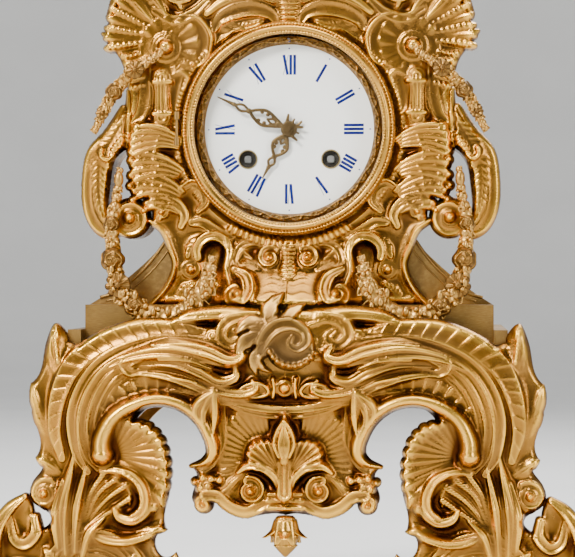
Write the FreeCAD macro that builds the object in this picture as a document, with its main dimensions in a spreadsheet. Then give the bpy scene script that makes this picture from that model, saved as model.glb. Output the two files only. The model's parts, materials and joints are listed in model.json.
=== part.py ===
"""Rococo gilt-bronze mantel clock with a round eight-day striking movement, as a FreeCAD document.

Millimetres. +Z is up, the dial faces -Y, and the origin is on the shelf under the middle of the clock.
The driving dimensions are cells of the sheet Dims, and sizes are bound to them by expressions. Castings,
hands and gears, whose outlines no primitive has, are Part::Feature shapes made from the same cells.
"""
import FreeCAD, Part
import os
import Sketcher
from math import acos, atan2, cos, degrees, hypot, pi, radians, sin

V = FreeCAD.Vector
doc = FreeCAD.newDocument("mantel_clock")

CELLS = {
    # case and base
    "dial_height": 272.0, "dial_bore": 50.4, "front_face": -52.0, "front_back": -40.0,
    "case_back": 48.0, "shell_wall": 2.0, "shell_half_width": 60.0, "shell_shoulder": 292.0,
    "shell_top": 352.0,
    "plinth_top": 178.0, "plinth_slab": 158.0, "plinth_bottom": 150.0,
    "plinth_half_width": 109.0, "plinth_half_depth": 56.0,
    "base_face": 80.0, "base_inner": 70.0, "side_wall": 7.0,
    "foot_height": 12.0, "foot_inner": 70.0, "foot_outer": 148.0, "foot_back": 58.0, "foot_face": 86.0,
    "sheet": 3.0, "bolt_radius": 2.0, "bolt_x": 72.0, "bolt_y": 24.0, "bolt_clear": 0.3, "nut_radius": 4.5,
    "nut_height": 4.0, "screw_radius": 1.6, "screw_head": 2.5, "screw_height": 152.4,
    # dial and hands
    "dial_front": -47.0, "dial_radius": 47.4, "dial_thick": 1.6, "plate_back": -44.2, "sight_front": -51.5,
    "sight_bore": 45.4, "sight_rim": 49.8, "winding_x": 22.3, "winding_drop": 16.0, "winding_hole": 5.2,
    "eyelet_bore": 4.5, "centre_hole": 3.6, "regulator_rise": 47.7, "regulator_hole": 1.4,
    "bezel_front": -60.0, "bezel_depth": 7.6, "bezel_radius": 57.0, "bezel_lip": 50.2,
    "glass_radius": 51.0, "glass_edge": -55.35, "glass_thick": 1.4, "glass_rise": 3.6, "glass_curve": 363.05,
    # movement
    "plate_radius": 46.2, "plate_thick": 2.0, "front_plate": -38.0, "back_plate": 6.0,
    "pillar_radius": 2.6, "pillar_circle": 42.8, "arbor": 0.7, "pivot": 0.45, "pivot_gap": 0.05,
    "barrel_teeth": 72, "barrel_module": 0.5, "drum_radius": 16.6, "great_pinion": 12,
    "second_teeth": 72, "second_module": 0.35, "centre_pinion": 12, "strike_pinion": 8,
    "centre_teeth": 90, "centre_module": 0.3, "third_pinion": 8, "third_teeth": 88, "third_module": 0.25,
    "escape_pinion": 8, "escape_teeth": 44, "escape_radius": 8.0, "escape_x": -5.0, "escape_rise": 25.0,
    "cannon_teeth": 12, "minute_teeth": 36, "motion_module": 0.5, "minute_pinion": 10, "hour_teeth": 40,
    "pin_teeth": 60, "pin_module": 0.3, "fly_pinion": 8,
    # pendulum: 108.6 mm beats 10,890 times an hour, as the train's counts ask
    "pivot_rise": 36.0, "pendulum_length": 108.6, "bob_radius": 11.5, "bob_thick": 7.0, "pendulum_y": 14.0,
    "bell_radius": 33.0, "bell_drop": 10.0, "bell_rim": 22.0, "bell_depth": 17.0, "bell_wall": 1.6,
    "door_radius": 52.0, "door_thick": 1.6, "hinge_radius": 1.2,
}
dims = doc.addObject("Spreadsheet::Sheet", "Dims")
for row, (alias, value) in enumerate(CELLS.items(), start=1):
    dims.set(f"A{row}", alias)
    dims.set(f"B{row}", str(value))
    dims.setAlias(f"B{row}", alias)
doc.recompute()

MINUTE_ANGLE, HOUR_ANGLE = 294.4, 208.5  # where the hands stand, clockwise from twelve
parts = []


def cell(alias):
    """A sheet value as a number, for the shapes that Part's functions make."""
    return float(dims.get(alias))


D = cell("dial_height")


# ---------------------------------------------------------------- document helpers
def place(obj, x="0", y="0", z="0", turn=None):
    """Place obj by expressions, after turning it by (axis, degrees)."""
    if turn:
        obj.Placement = FreeCAD.Placement(V(), FreeCAD.Rotation(V(*turn[0]), turn[1]))
    for letter, expression in zip("xyz", (x, y, z)):
        obj.setExpression(f"Placement.Base.{letter}", expression)
    return obj


def bar(radius, front, back, x="0", z="Dims.dial_height"):
    """A round bar along Y from front to back."""
    obj = doc.addObject("Part::Cylinder", "bar")
    obj.setExpression("Radius", radius)
    obj.setExpression("Height", f"({back}) - ({front})")
    return place(obj, x, back, z, turn=((1, 0, 0), 90))


def post(radius, bottom, top, x="0", y="0"):
    """A round bar along Z."""
    obj = doc.addObject("Part::Cylinder", "post")
    obj.setExpression("Radius", radius)
    obj.setExpression("Height", f"({top}) - ({bottom})")
    return place(obj, x, y, bottom)


def cone(low_radius, high_radius, bottom, top, x="0", y="0"):
    obj = doc.addObject("Part::Cone", "cone")
    obj.setExpression("Radius1", low_radius)
    obj.setExpression("Radius2", high_radius)
    obj.setExpression("Height", f"({top}) - ({bottom})")
    return place(obj, x, y, bottom)


def ball(radius, x, y, z):
    obj = doc.addObject("Part::Sphere", "ball")
    obj.setExpression("Radius", radius)
    return place(obj, x, y, z)


def block(low, high):
    """A box by its low and high corners."""
    obj = doc.addObject("Part::Box", "block")
    for size, a, b in zip(("Length", "Width", "Height"), low, high):
        obj.setExpression(size, f"({b}) - ({a})")
    return place(obj, *low)


def fuse(*objects):
    obj = doc.addObject("Part::MultiFuse", "joined")
    obj.Shapes = list(objects)
    return obj


def cut(base, *tools):
    """base less every tool."""
    obj = doc.addObject("Part::Cut", "cut")
    obj.Base, obj.Tool = base, tools[0] if len(tools) == 1 else fuse(*tools)
    return obj


def part(name, obj):
    """obj becomes the finished sub-part called name."""
    obj.Label = name
    parts.append(obj)
    return obj


def feature(made, name="shape"):
    obj = doc.addObject("Part::Feature", name)
    obj.Shape = made
    return obj


def revolved(name, profile, y="0", z="Dims.dial_height"):
    """A PartDesign body turned about the dial's axis; profile holds (radius, distance behind y)."""
    body = doc.addObject("PartDesign::Body", name)
    sketch = body.newObject("Sketcher::SketchObject", name + "_profile")
    plane = next(f for f in body.Origin.OriginFeatures if f.Role == "XY_Plane")
    sketch.AttachmentSupport = [(plane, "")]
    sketch.MapMode = "FlatFace"
    points = [V(*(float(dims.evalExpression(e)) for e in pair), 0) for pair in profile]
    count = len(points)
    for i, point in enumerate(points):
        sketch.addGeometry(Part.LineSegment(point, points[(i + 1) % count]), False)
    for i in range(count):
        sketch.addConstraint(Sketcher.Constraint("Coincident", i, 2, (i + 1) % count, 1))
    for i, (point, pair) in enumerate(zip(points, profile)):
        for kind, value, expression in (("DistanceX", point.x, pair[0]), ("DistanceY", point.y, pair[1])):
            index = sketch.addConstraint(Sketcher.Constraint(kind, -1, 1, i, 1, value))
            sketch.setExpression(f"Constraints[{index}]", expression)
    turned = body.newObject("PartDesign::Revolution", name + "_turned")
    turned.Profile = sketch
    turned.ReferenceAxis = (sketch, ["V_Axis"])
    turned.Angle = 360
    return part(name, place(body, "0", y, z))


# ---------------------------------------------------------------- shape helpers
def flat(x, z, y=0.0):
    return V(x, y, z)


def loop(stretches, to_point=flat):
    """A closed wire from stretches of points: two points make a line, more a smooth curve."""
    edges = []
    for stretch in stretches:
        points = [to_point(*p) for p in stretch]
        if len(points) == 2:
            edges.append(Part.LineSegment(*points).toShape())
        else:
            curve = Part.BSplineCurve()
            curve.interpolate(points)
            edges.append(curve.toShape())
    return Part.Wire(edges)


def mirrored(stretches):
    """The left half's stretches, from top centre round to bottom centre, with their mirror images."""
    right = [[(-x, z) for x, z in reversed(stretch)] for stretch in reversed(stretches)]
    return stretches + right


def slab(wire, front, back):
    """wire, which lies in the plane y = 0, as a plate from front to back."""
    made = Part.Face(wire).extrude(V(0, back - front, 0))
    made.translate(V(0, front, 0))
    return made


def rod(radius, front, back, x, z):
    return Part.makeCylinder(radius, back - front, V(x, front, z), V(0, 1, 0))


def joined(shapes):
    return shapes[0].multiFuse(shapes[1:]).removeSplitter()


def gear_wire(x, z, teeth, module, phase):
    """A gear's outline: straight-flanked teeth, thin enough to run free in mesh."""
    pitch, radius = 2 * pi / teeth, teeth * module / 2
    corners = ((-0.25, -1.1), (-0.10, 0.8), (0.10, 0.8), (0.25, -1.1))
    points = []
    for tooth in range(teeth):
        for share, height in corners:
            angle = phase + pitch * (tooth + share)
            points.append(flat(x + (radius + module * height) * cos(angle),
                               z + (radius + module * height) * sin(angle)))
    return Part.makePolygon(points + points[:1])


def window(x, z, inner, outer, start, end):
    """The outline of an opening between two spokes."""
    mid = (start + end) / 2
    ends = [(r, a) for r in (outer, inner) for a in (start, mid, end)]
    p = [flat(x + r * cos(a), z + r * sin(a)) for r, a in ends]
    return Part.Wire([Part.Arc(p[0], p[1], p[2]).toShape(), Part.LineSegment(p[2], p[5]).toShape(),
                      Part.Arc(p[5], p[4], p[3]).toShape(), Part.LineSegment(p[3], p[0]).toShape()])


def wheel(centre, teeth, module, phase, front, thick, hub, spokes=5, rim=2.2):
    """A crossed-out wheel."""
    x, z = centre
    plate = slab(gear_wire(x, z, teeth, module, phase), front, front + thick)
    outer = teeth * module / 2 - 1.1 * module - rim
    step = 2 * pi / spokes
    for i in range(spokes):
        gap = window(x, z, hub, outer, phase + step * i + 0.16, phase + step * (i + 1) - 0.16)
        plate = plate.cut(slab(gap, front - 1, front + thick + 1))
    return plate


def pinion(centre, teeth, module, phase, front, back):
    return slab(gear_wire(*centre, teeth, module, phase), front, back)


def arbor(centre, front=None, back=None):
    """A wheel's arbor, with its two pivots in the plates."""
    x, z = centre
    inner = cell("front_plate") + cell("plate_thick")
    made = [rod(cell("arbor"), inner + 0.3, cell("back_plate") - 0.3, x, z),
            rod(cell("pivot"), cell("front_plate") + 0.2 if front is None else front,
                cell("back_plate") + cell("plate_thick") - 0.2 if back is None else back, x, z)]
    return made


def meet(a, a_radius, b, b_radius, side):
    """The point at these distances from a and b, on the left (+1) or right (-1) going from a to b."""
    dx, dz = b[0] - a[0], b[1] - a[1]
    gap = hypot(dx, dz)
    along = (a_radius ** 2 - b_radius ** 2 + gap ** 2) / (2 * gap)
    off = side * (a_radius ** 2 - along ** 2) ** 0.5
    return (a[0] + (along * dx - off * dz) / gap, a[1] + (along * dz + off * dx) / gap)


def in_mesh(driver, driver_teeth, driver_phase, driven, driven_teeth):
    """The phase that puts the driven gear's gap where the driver's tooth points."""
    angle = atan2(driven[1] - driver[1], driven[0] - driver[0])
    return angle + pi + driver_teeth / driven_teeth * (angle - driver_phase) + pi / driven_teeth


def pitch_radius(teeth_cell, module_cell):
    return cell(teeth_cell) * cell(module_cell) / 2


# ---------------------------------------------------------------- outlines, left half, (x, z)
UPPER_FRONT = [
    [(0, 402), (-14, 400), (-30, 391), (-42, 380)],
    [(-42, 380), (-56, 381), (-70, 373), (-82, 358), (-90, 341), (-97, 333), (-99, 327), (-101.5, 323)],
    [(-101.5, 323), (-98, 318), (-92, 311), (-89, 303), (-87.4, 294)],
    [(-87.4, 294), (-87.4, 257)],
    [(-87.4, 257), (-83, 250), (-85, 243), (-81, 238.5), (-76, 237.5)],
    [(-76, 237.5), (-74.2, 230), (-74.2, 222)],
    [(-74.2, 222), (-68, 217), (-63, 207), (-61, 200), (-62.5, 193), (-67, 185), (-73, 178)],
    [(-73, 178), (0, 178)],
]
BASE_FRONT = [
    [(0, 175.8), (-33, 175.8)],
    [(-33, 175.8), (-38, 167.5)],
    [(-38, 167.5), (-54, 169), (-73, 169.6), (-92, 166), (-107.5, 157.5), (-115, 159)],
    [(-115, 159), (-118, 166), (-122, 168.5), (-125, 164), (-127.5, 156), (-130, 143), (-134.3, 137)],
    [(-134.3, 137), (-134.6, 128), (-133.2, 117), (-130, 106), (-132.5, 97.5)],
    [(-132.5, 97.5), (-129, 92), (-134.4, 84), (-133.6, 75), (-127, 69)],
    [(-127, 69), (-125, 63), (-130, 60), (-133, 67), (-138.3, 78.4)],
    [(-138.3, 78.4), (-147, 71.5), (-154, 63), (-158.4, 50), (-158, 36), (-153, 22), (-147, 12)],
    [(-147, 12), (-71, 12)],
    [(-71, 12), (-62, 24), (-56, 36), (-58, 48)],
    [(-58, 48), (-66, 46), (-69, 52), (-63, 59.5)],
    [(-63, 59.5), (-64, 68), (-61.5, 78), (-61.5, 92), (-67, 105), (-79, 117.5)],
    [(-79, 117.5), (-73, 123.5), (-65, 126.5), (-55, 123.5), (-47, 118), (-41, 110), (-39, 102), (-44, 94.5),
     (-51, 93.8)],
    [(-51, 93.8), (-47.5, 84), (-49.5, 77), (-46, 72)],
    [(-46, 72), (-37, 74), (-25, 66.8), (-12, 68), (0, 68)],
]
BASE_BACK = [
    [(0, 165), (-92, 165)],
    [(-92, 165), (-112, 160), (-124, 148), (-128, 134), (-126, 116), (-121, 98)],
    [(-121, 98), (-119, 70), (-124, 46), (-132, 28), (-134, 12)],
    [(-134, 12), (-96, 12)],
    [(-96, 12), (-100, 40), (-101, 70), (-98, 96), (-88, 112), (-70, 120)],
    [(-70, 120), (0, 120)],
]
HANDLE_LEFT = [
    [(-87.6, 292), (-93, 279), (-103, 267), (-110, 258), (-112.8, 244), (-112, 229), (-106, 217),
     (-97, 212.6)],
    [(-97, 212.6), (-93.5, 219)],
    [(-93.5, 219), (-97.6, 228), (-97, 242), (-94, 256), (-87.6, 262)],
    [(-87.6, 262), (-87.6, 292)],
]
SIDE_HALF = [  # (y, z)
    [(0, 165), (-70, 165)],
    [(-70, 165), (-70, 12)],
    [(-70, 12), (-30, 12)],
    [(-30, 12), (-26, 24), (-32, 40)],
    [(-32, 40), (-31, 66), (-38, 96), (-30, 112), (-16, 106)],
    [(-16, 106), (-10, 96), (0, 92)],
]


# ---------------------------------------------------------------- case
def case_front():
    plate = slab(loop(mirrored(UPPER_FRONT)), cell("front_face"), cell("front_back"))
    plate = plate.cut(rod(cell("dial_bore"), -90, 0, 0, D))
    apron = Part.makePolygon([V(0, y, z) for y, z in ((-52, 214), (-80, 176), (-56.2, 176), (-56.2, 178),
                                                      (-52, 178),
                                                      (-52, 214))])
    wedge = Part.Face(apron).extrude(V(62, 0, 0))
    wedge.translate(V(-31, 0, 0))
    part("upper_front_casting", feature(joined([plate, wedge])))


def shell_wire(inset):
    """The rear casing's outline, set in by inset: a flared foot, upright sides and a round top."""
    half, shoulder = cell("shell_half_width") - inset, cell("shell_shoulder")
    bottom, top = cell("plinth_top") + inset, cell("shell_top") - inset
    wide, slope = cell("plinth_half_width") - 2.2 * inset, 221.0
    left = [flat(-wide, bottom), flat(-84 + inset, 196 + inset * 0.4), flat(-half, slope),
            flat(-half, shoulder)]
    right = [flat(-p.x, p.z) for p in left]
    return Part.Wire([
        Part.Arc(left[0], left[1], left[2]).toShape(), Part.LineSegment(left[2], left[3]).toShape(),
        Part.Arc(left[3], flat(0, top), right[3]).toShape(), Part.LineSegment(right[3], right[2]).toShape(),
        Part.Arc(right[2], right[1], right[0]).toShape(), Part.LineSegment(right[0], left[0]).toShape()])


def bolt_spots():
    return [(x * cell("bolt_x"), y * cell("bolt_y")) for x in (-1, 1) for y in (-1, 1)]


def case_shell():
    front, back, wall = cell("front_back"), cell("case_back"), cell("shell_wall")
    solid = slab(shell_wire(0), front, back).cut(slab(shell_wire(wall), front + wall, back + 1))
    solid = solid.cut(rod(cell("dial_bore"), front - 1, front + wall + 1, 0, D))
    for x, y in bolt_spots():
        solid = solid.cut(Part.makeCylinder(cell("bolt_radius") + cell("bolt_clear"), 20,
                                            V(x, y, cell("plinth_top") - 5)))
    part("case_shell", feature(solid))
    panel = slab(shell_wire(0), back, back + wall).cut(rod(cell("door_radius") - 4, back - 1, back + 9, 0, D))
    part("case_back_plate", feature(panel))


def handle(side):
    volute = rod(10.9, -46, -24, -85.6, 224.6)
    band = slab(loop(HANDLE_LEFT), -46, -24)
    made = joined([band, volute]).cut(rod(2.2, -60, 0, -85.6, 224.6))
    name = "handle_scroll_left"
    if side > 0:
        made = made.mirror(V(0, 0, 0), V(1, 0, 0))
        name = "handle_scroll_right"
    part(name, feature(made))


def chain(points, radii):
    """A solid garland: balls at the points and cones between them."""
    made = [Part.makeSphere(radii[0], V(*points[0]))]
    for a, b, ra, rb in zip(points, points[1:], radii, radii[1:]):
        along = V(*b) - V(*a)
        span = Part.makeCylinder(ra, along.Length, V(*a), along) if abs(ra - rb) < 0.05 else \
            Part.makeCone(ra, rb, along.Length, V(*a), along)
        made += [span, Part.makeSphere(rb, V(*b))]
    return joined(made)


GARLAND_UPPER = [(-66, -55, 315), (-76, -57, 307.5), (-86, -57, 300.5), (-95, -54, 290), (-101, -51.5, 279),
                 (-104.5, -51, 272)]
GARLAND_LOWER = [(-90.8, -51.5, 250), (-92, -52.5, 238), (-95, -53, 222), (-94.3, -55, 208),
                 (-92.8, -58.5, 195),
                 (-88, -61, 183.5), (-76, -61.3, 173.5), (-63, -61.3, 170), (-50, -61, 174.5),
                 (-42, -60, 187),
                 (-39.6, -58, 203)]
UPPER_RADII = (2.6, 3.2, 3.6, 4.2, 3.6, 2.6)
LOWER_RADII = (2.2, 3.2, 3.8, 4.0, 4.2, 4.2, 4.2, 4.2, 4.2, 3.8, 2.8)


def garlands():
    for label, points, radii in (("upper", GARLAND_UPPER, UPPER_RADII),
                                 ("lower", GARLAND_LOWER, LOWER_RADII)):
        left = chain(points, radii)
        part(f"garland_{label}_left", feature(left))
        part(f"garland_{label}_right", feature(left.mirror(V(0, 0, 0), V(1, 0, 0))))


def crest():
    part("crest_finial", fuse(post("9", "402.25", "407", y="-44"), cone("7", "13", "407", "420", y="-44"),
                              ball("15", "0", "-44", "428"), cone("9", "1.5", "440", "456", y="-44")))


def screw_spots():
    """The eight screws that hold the base castings: their x, and which side of the clock they are on."""
    return [(x, side) for x in (-95, -40, 40, 95) for side in (-1, 1)]


def screw(radius, x, side, start, end):
    """A bar along Y between two distances from the middle, on the front (-1) or the back (1) side."""
    return rod(radius, min(side * start, side * end), max(side * start, side * end), x, cell("screw_height"))


def platform():
    """A hollow stage under the case: an upper box, and a wider lower one that the castings are screwed to."""
    w, d, t = "Dims.plinth_half_width", "Dims.plinth_half_depth", "Dims.sheet"
    upper = block((f"-{w}", f"-{d}", "Dims.plinth_slab"), (w, d, "Dims.plinth_top"))
    lower = block((f"-{w}", "-Dims.base_inner", "Dims.plinth_bottom"),
                  (w, "Dims.base_inner", "Dims.plinth_slab"))
    upper_room = block((f"-{w} + {t}", f"-{d} + {t}", "Dims.plinth_bottom - 1"),
                       (f"{w} - {t}", f"{d} - {t}", f"Dims.plinth_top - {t}"))
    lower_room = block((f"-{w} + {t}", f"-Dims.base_inner + {t}", "Dims.plinth_bottom - 1"),
                       (f"{w} - {t}", f"Dims.base_inner - {t}", f"Dims.plinth_slab - {t}"))
    holes = [post("Dims.bolt_radius + Dims.bolt_clear", "Dims.plinth_slab", "Dims.plinth_top + 1", x=str(x),
                  y=str(y))
             for x, y in bolt_spots()]
    inner = cell("base_inner")
    holes += [feature(screw(cell("screw_radius") + 0.1, x, side, inner - 9, inner + 1), "screw_hole")
              for x, side in screw_spots()]
    part("plinth_platform", cut(fuse(upper, lower), upper_room, lower_room, *holes))


def case_bolts():
    """Four upright bolts with nuts through case and platform, and eight screws into the base castings."""
    top, sheet, inner = cell("plinth_top"), cell("sheet"), cell("base_inner")
    made = []
    for x, y in bolt_spots():
        stem = Part.makeCylinder(cell("bolt_radius"), 22, V(x, y, top - 12))
        upper_nut = Part.makeCylinder(cell("nut_radius"), cell("nut_height"),
                                      V(x, y, top + cell("shell_wall")))
        lower_nut = Part.makeCylinder(cell("nut_radius"), cell("nut_height"),
                                      V(x, y, top - sheet - cell("nut_height")))
        made.append(joined([stem, upper_nut, lower_nut]))
    for x, side in screw_spots():
        head = screw(cell("screw_head"), x, side, inner - sheet - 2.2, inner - sheet)
        made.append(joined([head, screw(cell("screw_radius"), x, side, inner - sheet - 1, inner + 5)]))
    part("case_bolts", feature(Part.makeCompound(made)))


def base():
    face, inner = cell("base_face"), cell("base_inner")
    front = slab(loop(mirrored(BASE_FRONT)), -face, -inner)
    back = slab(loop(mirrored(BASE_BACK)), inner, face - 4)
    for x, side in screw_spots():
        hole = screw(cell("screw_radius") + 0.1, x, side, inner - 1, inner + 5.5)
        front, back = front.cut(hole), back.cut(hole)
    part("base_front_casting", feature(front))
    part("base_back_casting", feature(back))
    outline = Part.Face(loop(mirrored(SIDE_HALF), to_point=lambda y, z: V(0, y, z)))
    for side, name in ((-1, "base_side_left"), (1, "base_side_right")):
        wall = outline.extrude(V(side * cell("side_wall"), 0, 0))
        wall.translate(V(side * cell("plinth_half_width"), 0, 0))
        part(name, feature(wall))
    feet = []
    for x in (-1, 1):
        for y in (-1, 1):
            low = [min(x * cell("foot_inner"), x * cell("foot_outer")),
                   min(y * cell("foot_back"), y * cell("foot_face"))]
            foot = Part.makeBox(cell("foot_outer") - cell("foot_inner"),
                                cell("foot_face") - cell("foot_back"),
                                cell("foot_height"), V(*low, 0))
            feet.append(foot.makeChamfer(3, [e for e in foot.Edges if e.BoundBox.ZLength > 5]))
    part("feet", feature(Part.makeCompound(feet)))
    part("apron_pendant", fuse(post("6", "62", "67.8", y="-75"), cone("2", "8", "50", "62", y="-75"),
                               ball("2.2", "0", "-75", "50")))
    scroll = joined([rod(15, -86, -80, 3, 158), rod(8, -86, -80, -18, 152), rod(7, -86, -80, -4, 172)])
    part("cartouche_ornament", feature(scroll))


# ---------------------------------------------------------------- dial, bezel and hands
def winding_spots():
    return [(f"{side} * Dims.winding_x", "Dims.dial_height - Dims.winding_drop") for side in (-1, 1)]


def dial():
    back = "Dims.dial_front + Dims.dial_thick"
    holes = [bar("Dims.winding_hole", "Dims.dial_front - 1", "Dims.dial_front + 9", x, z)
             for x, z in winding_spots()]
    holes.append(bar("Dims.centre_hole", "Dims.dial_front - 1", "Dims.dial_front + 9"))
    part("dial_enamel", cut(bar("Dims.dial_radius - 1.6", "Dims.dial_front", back), *holes))
    plate_front = back + " + 0.05"
    feet = [bar("1.5", "Dims.plate_back - 0.2", "Dims.front_plate", f"{40 * cos(radians(a)):.3f}",
                f"Dims.dial_height + {40 * sin(radians(a)):.3f}") for a in (25, 155, 270)]
    bores = [bar("Dims.winding_hole", "Dims.dial_front", "Dims.plate_back + 1", x, z)
             for x, z in winding_spots()]
    bores.append(bar("Dims.centre_hole", "Dims.dial_front", "Dims.plate_back + 1"))
    bores.append(bar("Dims.regulator_hole", "Dims.dial_front", "Dims.plate_back + 1",
                     z="Dims.dial_height + Dims.regulator_rise"))
    part("dial_plate", fuse(cut(bar("Dims.dial_bore - 0.2", plate_front, "Dims.plate_back"), *bores), *feet))
    rings = doc.addObject("Part::Compound", "eyelets")
    rings.Links = [cut(bar("Dims.winding_hole - 0.05", "Dims.dial_front - 0.5", "Dims.plate_back", x, z),
                       bar("Dims.eyelet_bore", "Dims.dial_front - 1", "Dims.plate_back + 1", x, z))
                   for x, z in winding_spots()]
    part("winding_eyelets", rings)
    lip = [("Dims.sight_bore", "2.4"), ("Dims.sight_bore + 1.4", "0.6"), ("Dims.sight_rim - 1", "0"),
           ("Dims.sight_rim", "0.8"), ("Dims.sight_rim", "6.0"), ("Dims.dial_radius - 1.5", "6.0"),
           ("Dims.dial_radius - 1.5", "4.45"), ("Dims.sight_bore", "4.45")]
    ring = revolved("sight_ring", lip, y="Dims.sight_front")
    parts.remove(ring)
    ring.Label = "sight_ring_turned"
    part("sight_ring", cut(ring, bar("Dims.regulator_hole", "Dims.sight_front - 1", "Dims.sight_front + 9",
                                     z="Dims.dial_height + Dims.regulator_rise")))


def bezel():
    lip, rim = "Dims.bezel_lip", "Dims.bezel_radius"
    ring = revolved("bezel_ring", [
        (lip, "2.6"), (lip + " + 1", "0.7"), (lip + " + 2.8", "0"), (lip + " + 4.4", "1.3"),
        (rim + " - 1.2", "0.9"),
        (rim, "2.4"), (rim, "Dims.bezel_depth"), ("Dims.glass_radius + 0.1", "Dims.bezel_depth"),
        ("Dims.glass_radius + 0.1", "4.5"), (lip, "4.5")], y="Dims.bezel_front")
    parts.remove(ring)
    ring.Label = "bezel_turned"
    hinge, low, high = ("-59.4", "-57.6"), "Dims.dial_height - 4.9", "Dims.dial_height + 4.9"
    lug = fuse(post("1.6", low, high, *hinge), block(("-59.4", "-58.4", low), ("-55.5", "-56.8", high)))
    part("bezel_ring", cut(fuse(ring, lug), post("0.85", f"{low} - 1", f"{high} + 1", *hinge)))
    glass = doc.addObject("Part::Common", "domed")
    glass.Base = bar("Dims.glass_radius", "Dims.glass_edge - Dims.glass_rise - 1",
                     "Dims.glass_edge + Dims.glass_thick")
    middle = "Dims.glass_edge - Dims.glass_rise + Dims.glass_curve"
    glass.Tool = ball("Dims.glass_curve", "0", middle, "Dims.dial_height")
    part("bezel_glass", cut(glass, ball("Dims.glass_curve", "0", middle + " + Dims.glass_thick",
                                        "Dims.dial_height")))
    hinge_x, knuckle = -59.4, 4.0
    pin = Part.makeCylinder(0.8, 18, V(hinge_x, -57.6, D - 9))
    leaf = [Part.makeCylinder(1.6, knuckle, V(hinge_x, -57.6, D + low)) for low in (-9, 5)]
    tails = [Part.makeBox(1.6, 6.4, knuckle, V(hinge_x - 0.8, -58.4, D + low)) for low in (-9, 5)]
    part("bezel_hinge", feature(joined([pin] + leaf + tails)))


def outline_hand(length, hub, swell, angle, front, back, bore):
    """A pierced hand: a hub, a leaf-shaped ring with an opening, and a tapering stem with a smaller one."""
    big, small = 0.30 * length, 0.60 * length
    solids = [rod(hub, front, back, 0, 0)]
    spans = [(big, 0.20 * length, swell), (small, 0.13 * length, swell * 0.5)]
    leaves = []
    for centre, half, width in spans:
        ring = [[(0, centre + half), (width * 0.8, centre + half * 0.3), (width, centre - half * 0.3),
                 (0, centre - half)],
                [(0, centre - half), (-width, centre - half * 0.3), (-width * 0.8, centre + half * 0.3),
                 (0, centre + half)]]
        hole = [[(x * 0.62, centre + (z - centre) * 0.74) for x, z in stretch] for stretch in ring]
        leaves.append(slab(loop(ring), front, back).cut(slab(loop(hole), front - 1, back + 1)))
    stem = Part.makePolygon([flat(-0.5, 0.46 * length), flat(0.5, 0.46 * length), flat(0.12, length),
                             flat(-0.12, length), flat(-0.5, 0.46 * length)])
    bar_wire = Part.makePolygon([flat(-0.45, hub * 0.5), flat(0.45, hub * 0.5), flat(0.45, 0.14 * length),
                                 flat(-0.45, 0.14 * length), flat(-0.45, hub * 0.5)])
    tip = slab(stem, front, back)
    for leaf in leaves:
        gap = leaf.BoundBox
        tip = tip.cut(Part.makeBox(3, 9, gap.ZLength * 0.6,
                                   V(-1.5, front - 4, gap.Center.z - gap.ZLength * 0.3)))
    tail = slab(Part.makePolygon([flat(-0.6, 0), flat(-hub * 1.1, -hub * 1.5), flat(0, -hub * 1.15),
                                  flat(hub * 1.1, -hub * 1.5), flat(0.6, 0), flat(-0.6, 0)]), front, back)
    made = joined(solids + leaves + [tip, slab(bar_wire, front, back), tail])
    made = made.cut(rod(bore, front - 1, back + 1, 0, 0))
    made.rotate(V(0, 0, 0), V(0, 1, 0), angle)
    made.translate(V(0, 0, D))
    return max(made.Solids, key=lambda s: s.Volume)


def hands():
    part("minute_hand", feature(outline_hand(42.0, 4.2, 3.9, MINUTE_ANGLE, -50.8, -50.1, 1.85)))
    part("hour_hand", feature(outline_hand(30.0, 4.4, 4.2, HOUR_ANGLE, -49.4, -48.7, 2.65)))
    part("hand_nut", cut(fuse(bar("2.2", "-51.9", "-51.0"), bar("1.3", "-52.6", "-51.9")),
                         bar("1.05", "-52.2", "-50.9")))


# ---------------------------------------------------------------- movement
C = (0.0, D)
BARREL = {"time": (cell("winding_x"), D - cell("winding_drop")),
          "strike": (-cell("winding_x"), D - cell("winding_drop"))}
great_reach = pitch_radius("barrel_teeth", "barrel_module") + pitch_radius("great_pinion", "barrel_module")
second_reach = pitch_radius("second_teeth", "second_module") + pitch_radius("centre_pinion", "second_module")
SECOND = meet(C, second_reach, BARREL["time"], great_reach, 1)
STRIKE_SECOND = (-SECOND[0], SECOND[1])
ESCAPE = (cell("escape_x"), D + cell("escape_rise"))
third_reach = pitch_radius("centre_teeth", "centre_module") + pitch_radius("third_pinion", "centre_module")
escape_reach = pitch_radius("third_teeth", "third_module") + pitch_radius("escape_pinion", "third_module")
THIRD = meet(C, third_reach, ESCAPE, escape_reach, -1)
pin_reach = pitch_radius("second_teeth", "second_module") + pitch_radius("strike_pinion", "second_module")
PIN = (STRIKE_SECOND[0] + pin_reach * cos(radians(100)), STRIKE_SECOND[1] + pin_reach * sin(radians(100)))
fly_reach = pitch_radius("pin_teeth", "pin_module") + pitch_radius("fly_pinion", "pin_module")
FLY = (PIN[0] + fly_reach * cos(radians(150)), PIN[1] + fly_reach * sin(radians(150)))
motion_reach = (cell("cannon_teeth") + cell("minute_teeth")) * cell("motion_module") / 2
MOTION = (motion_reach * cos(radians(130)), D + motion_reach * sin(radians(130)))
PIVOT = (0.0, D + cell("pivot_rise"))
HAMMER = (37.0, D - 24.0)


def teeth(name):
    return int(cell(name))


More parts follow.
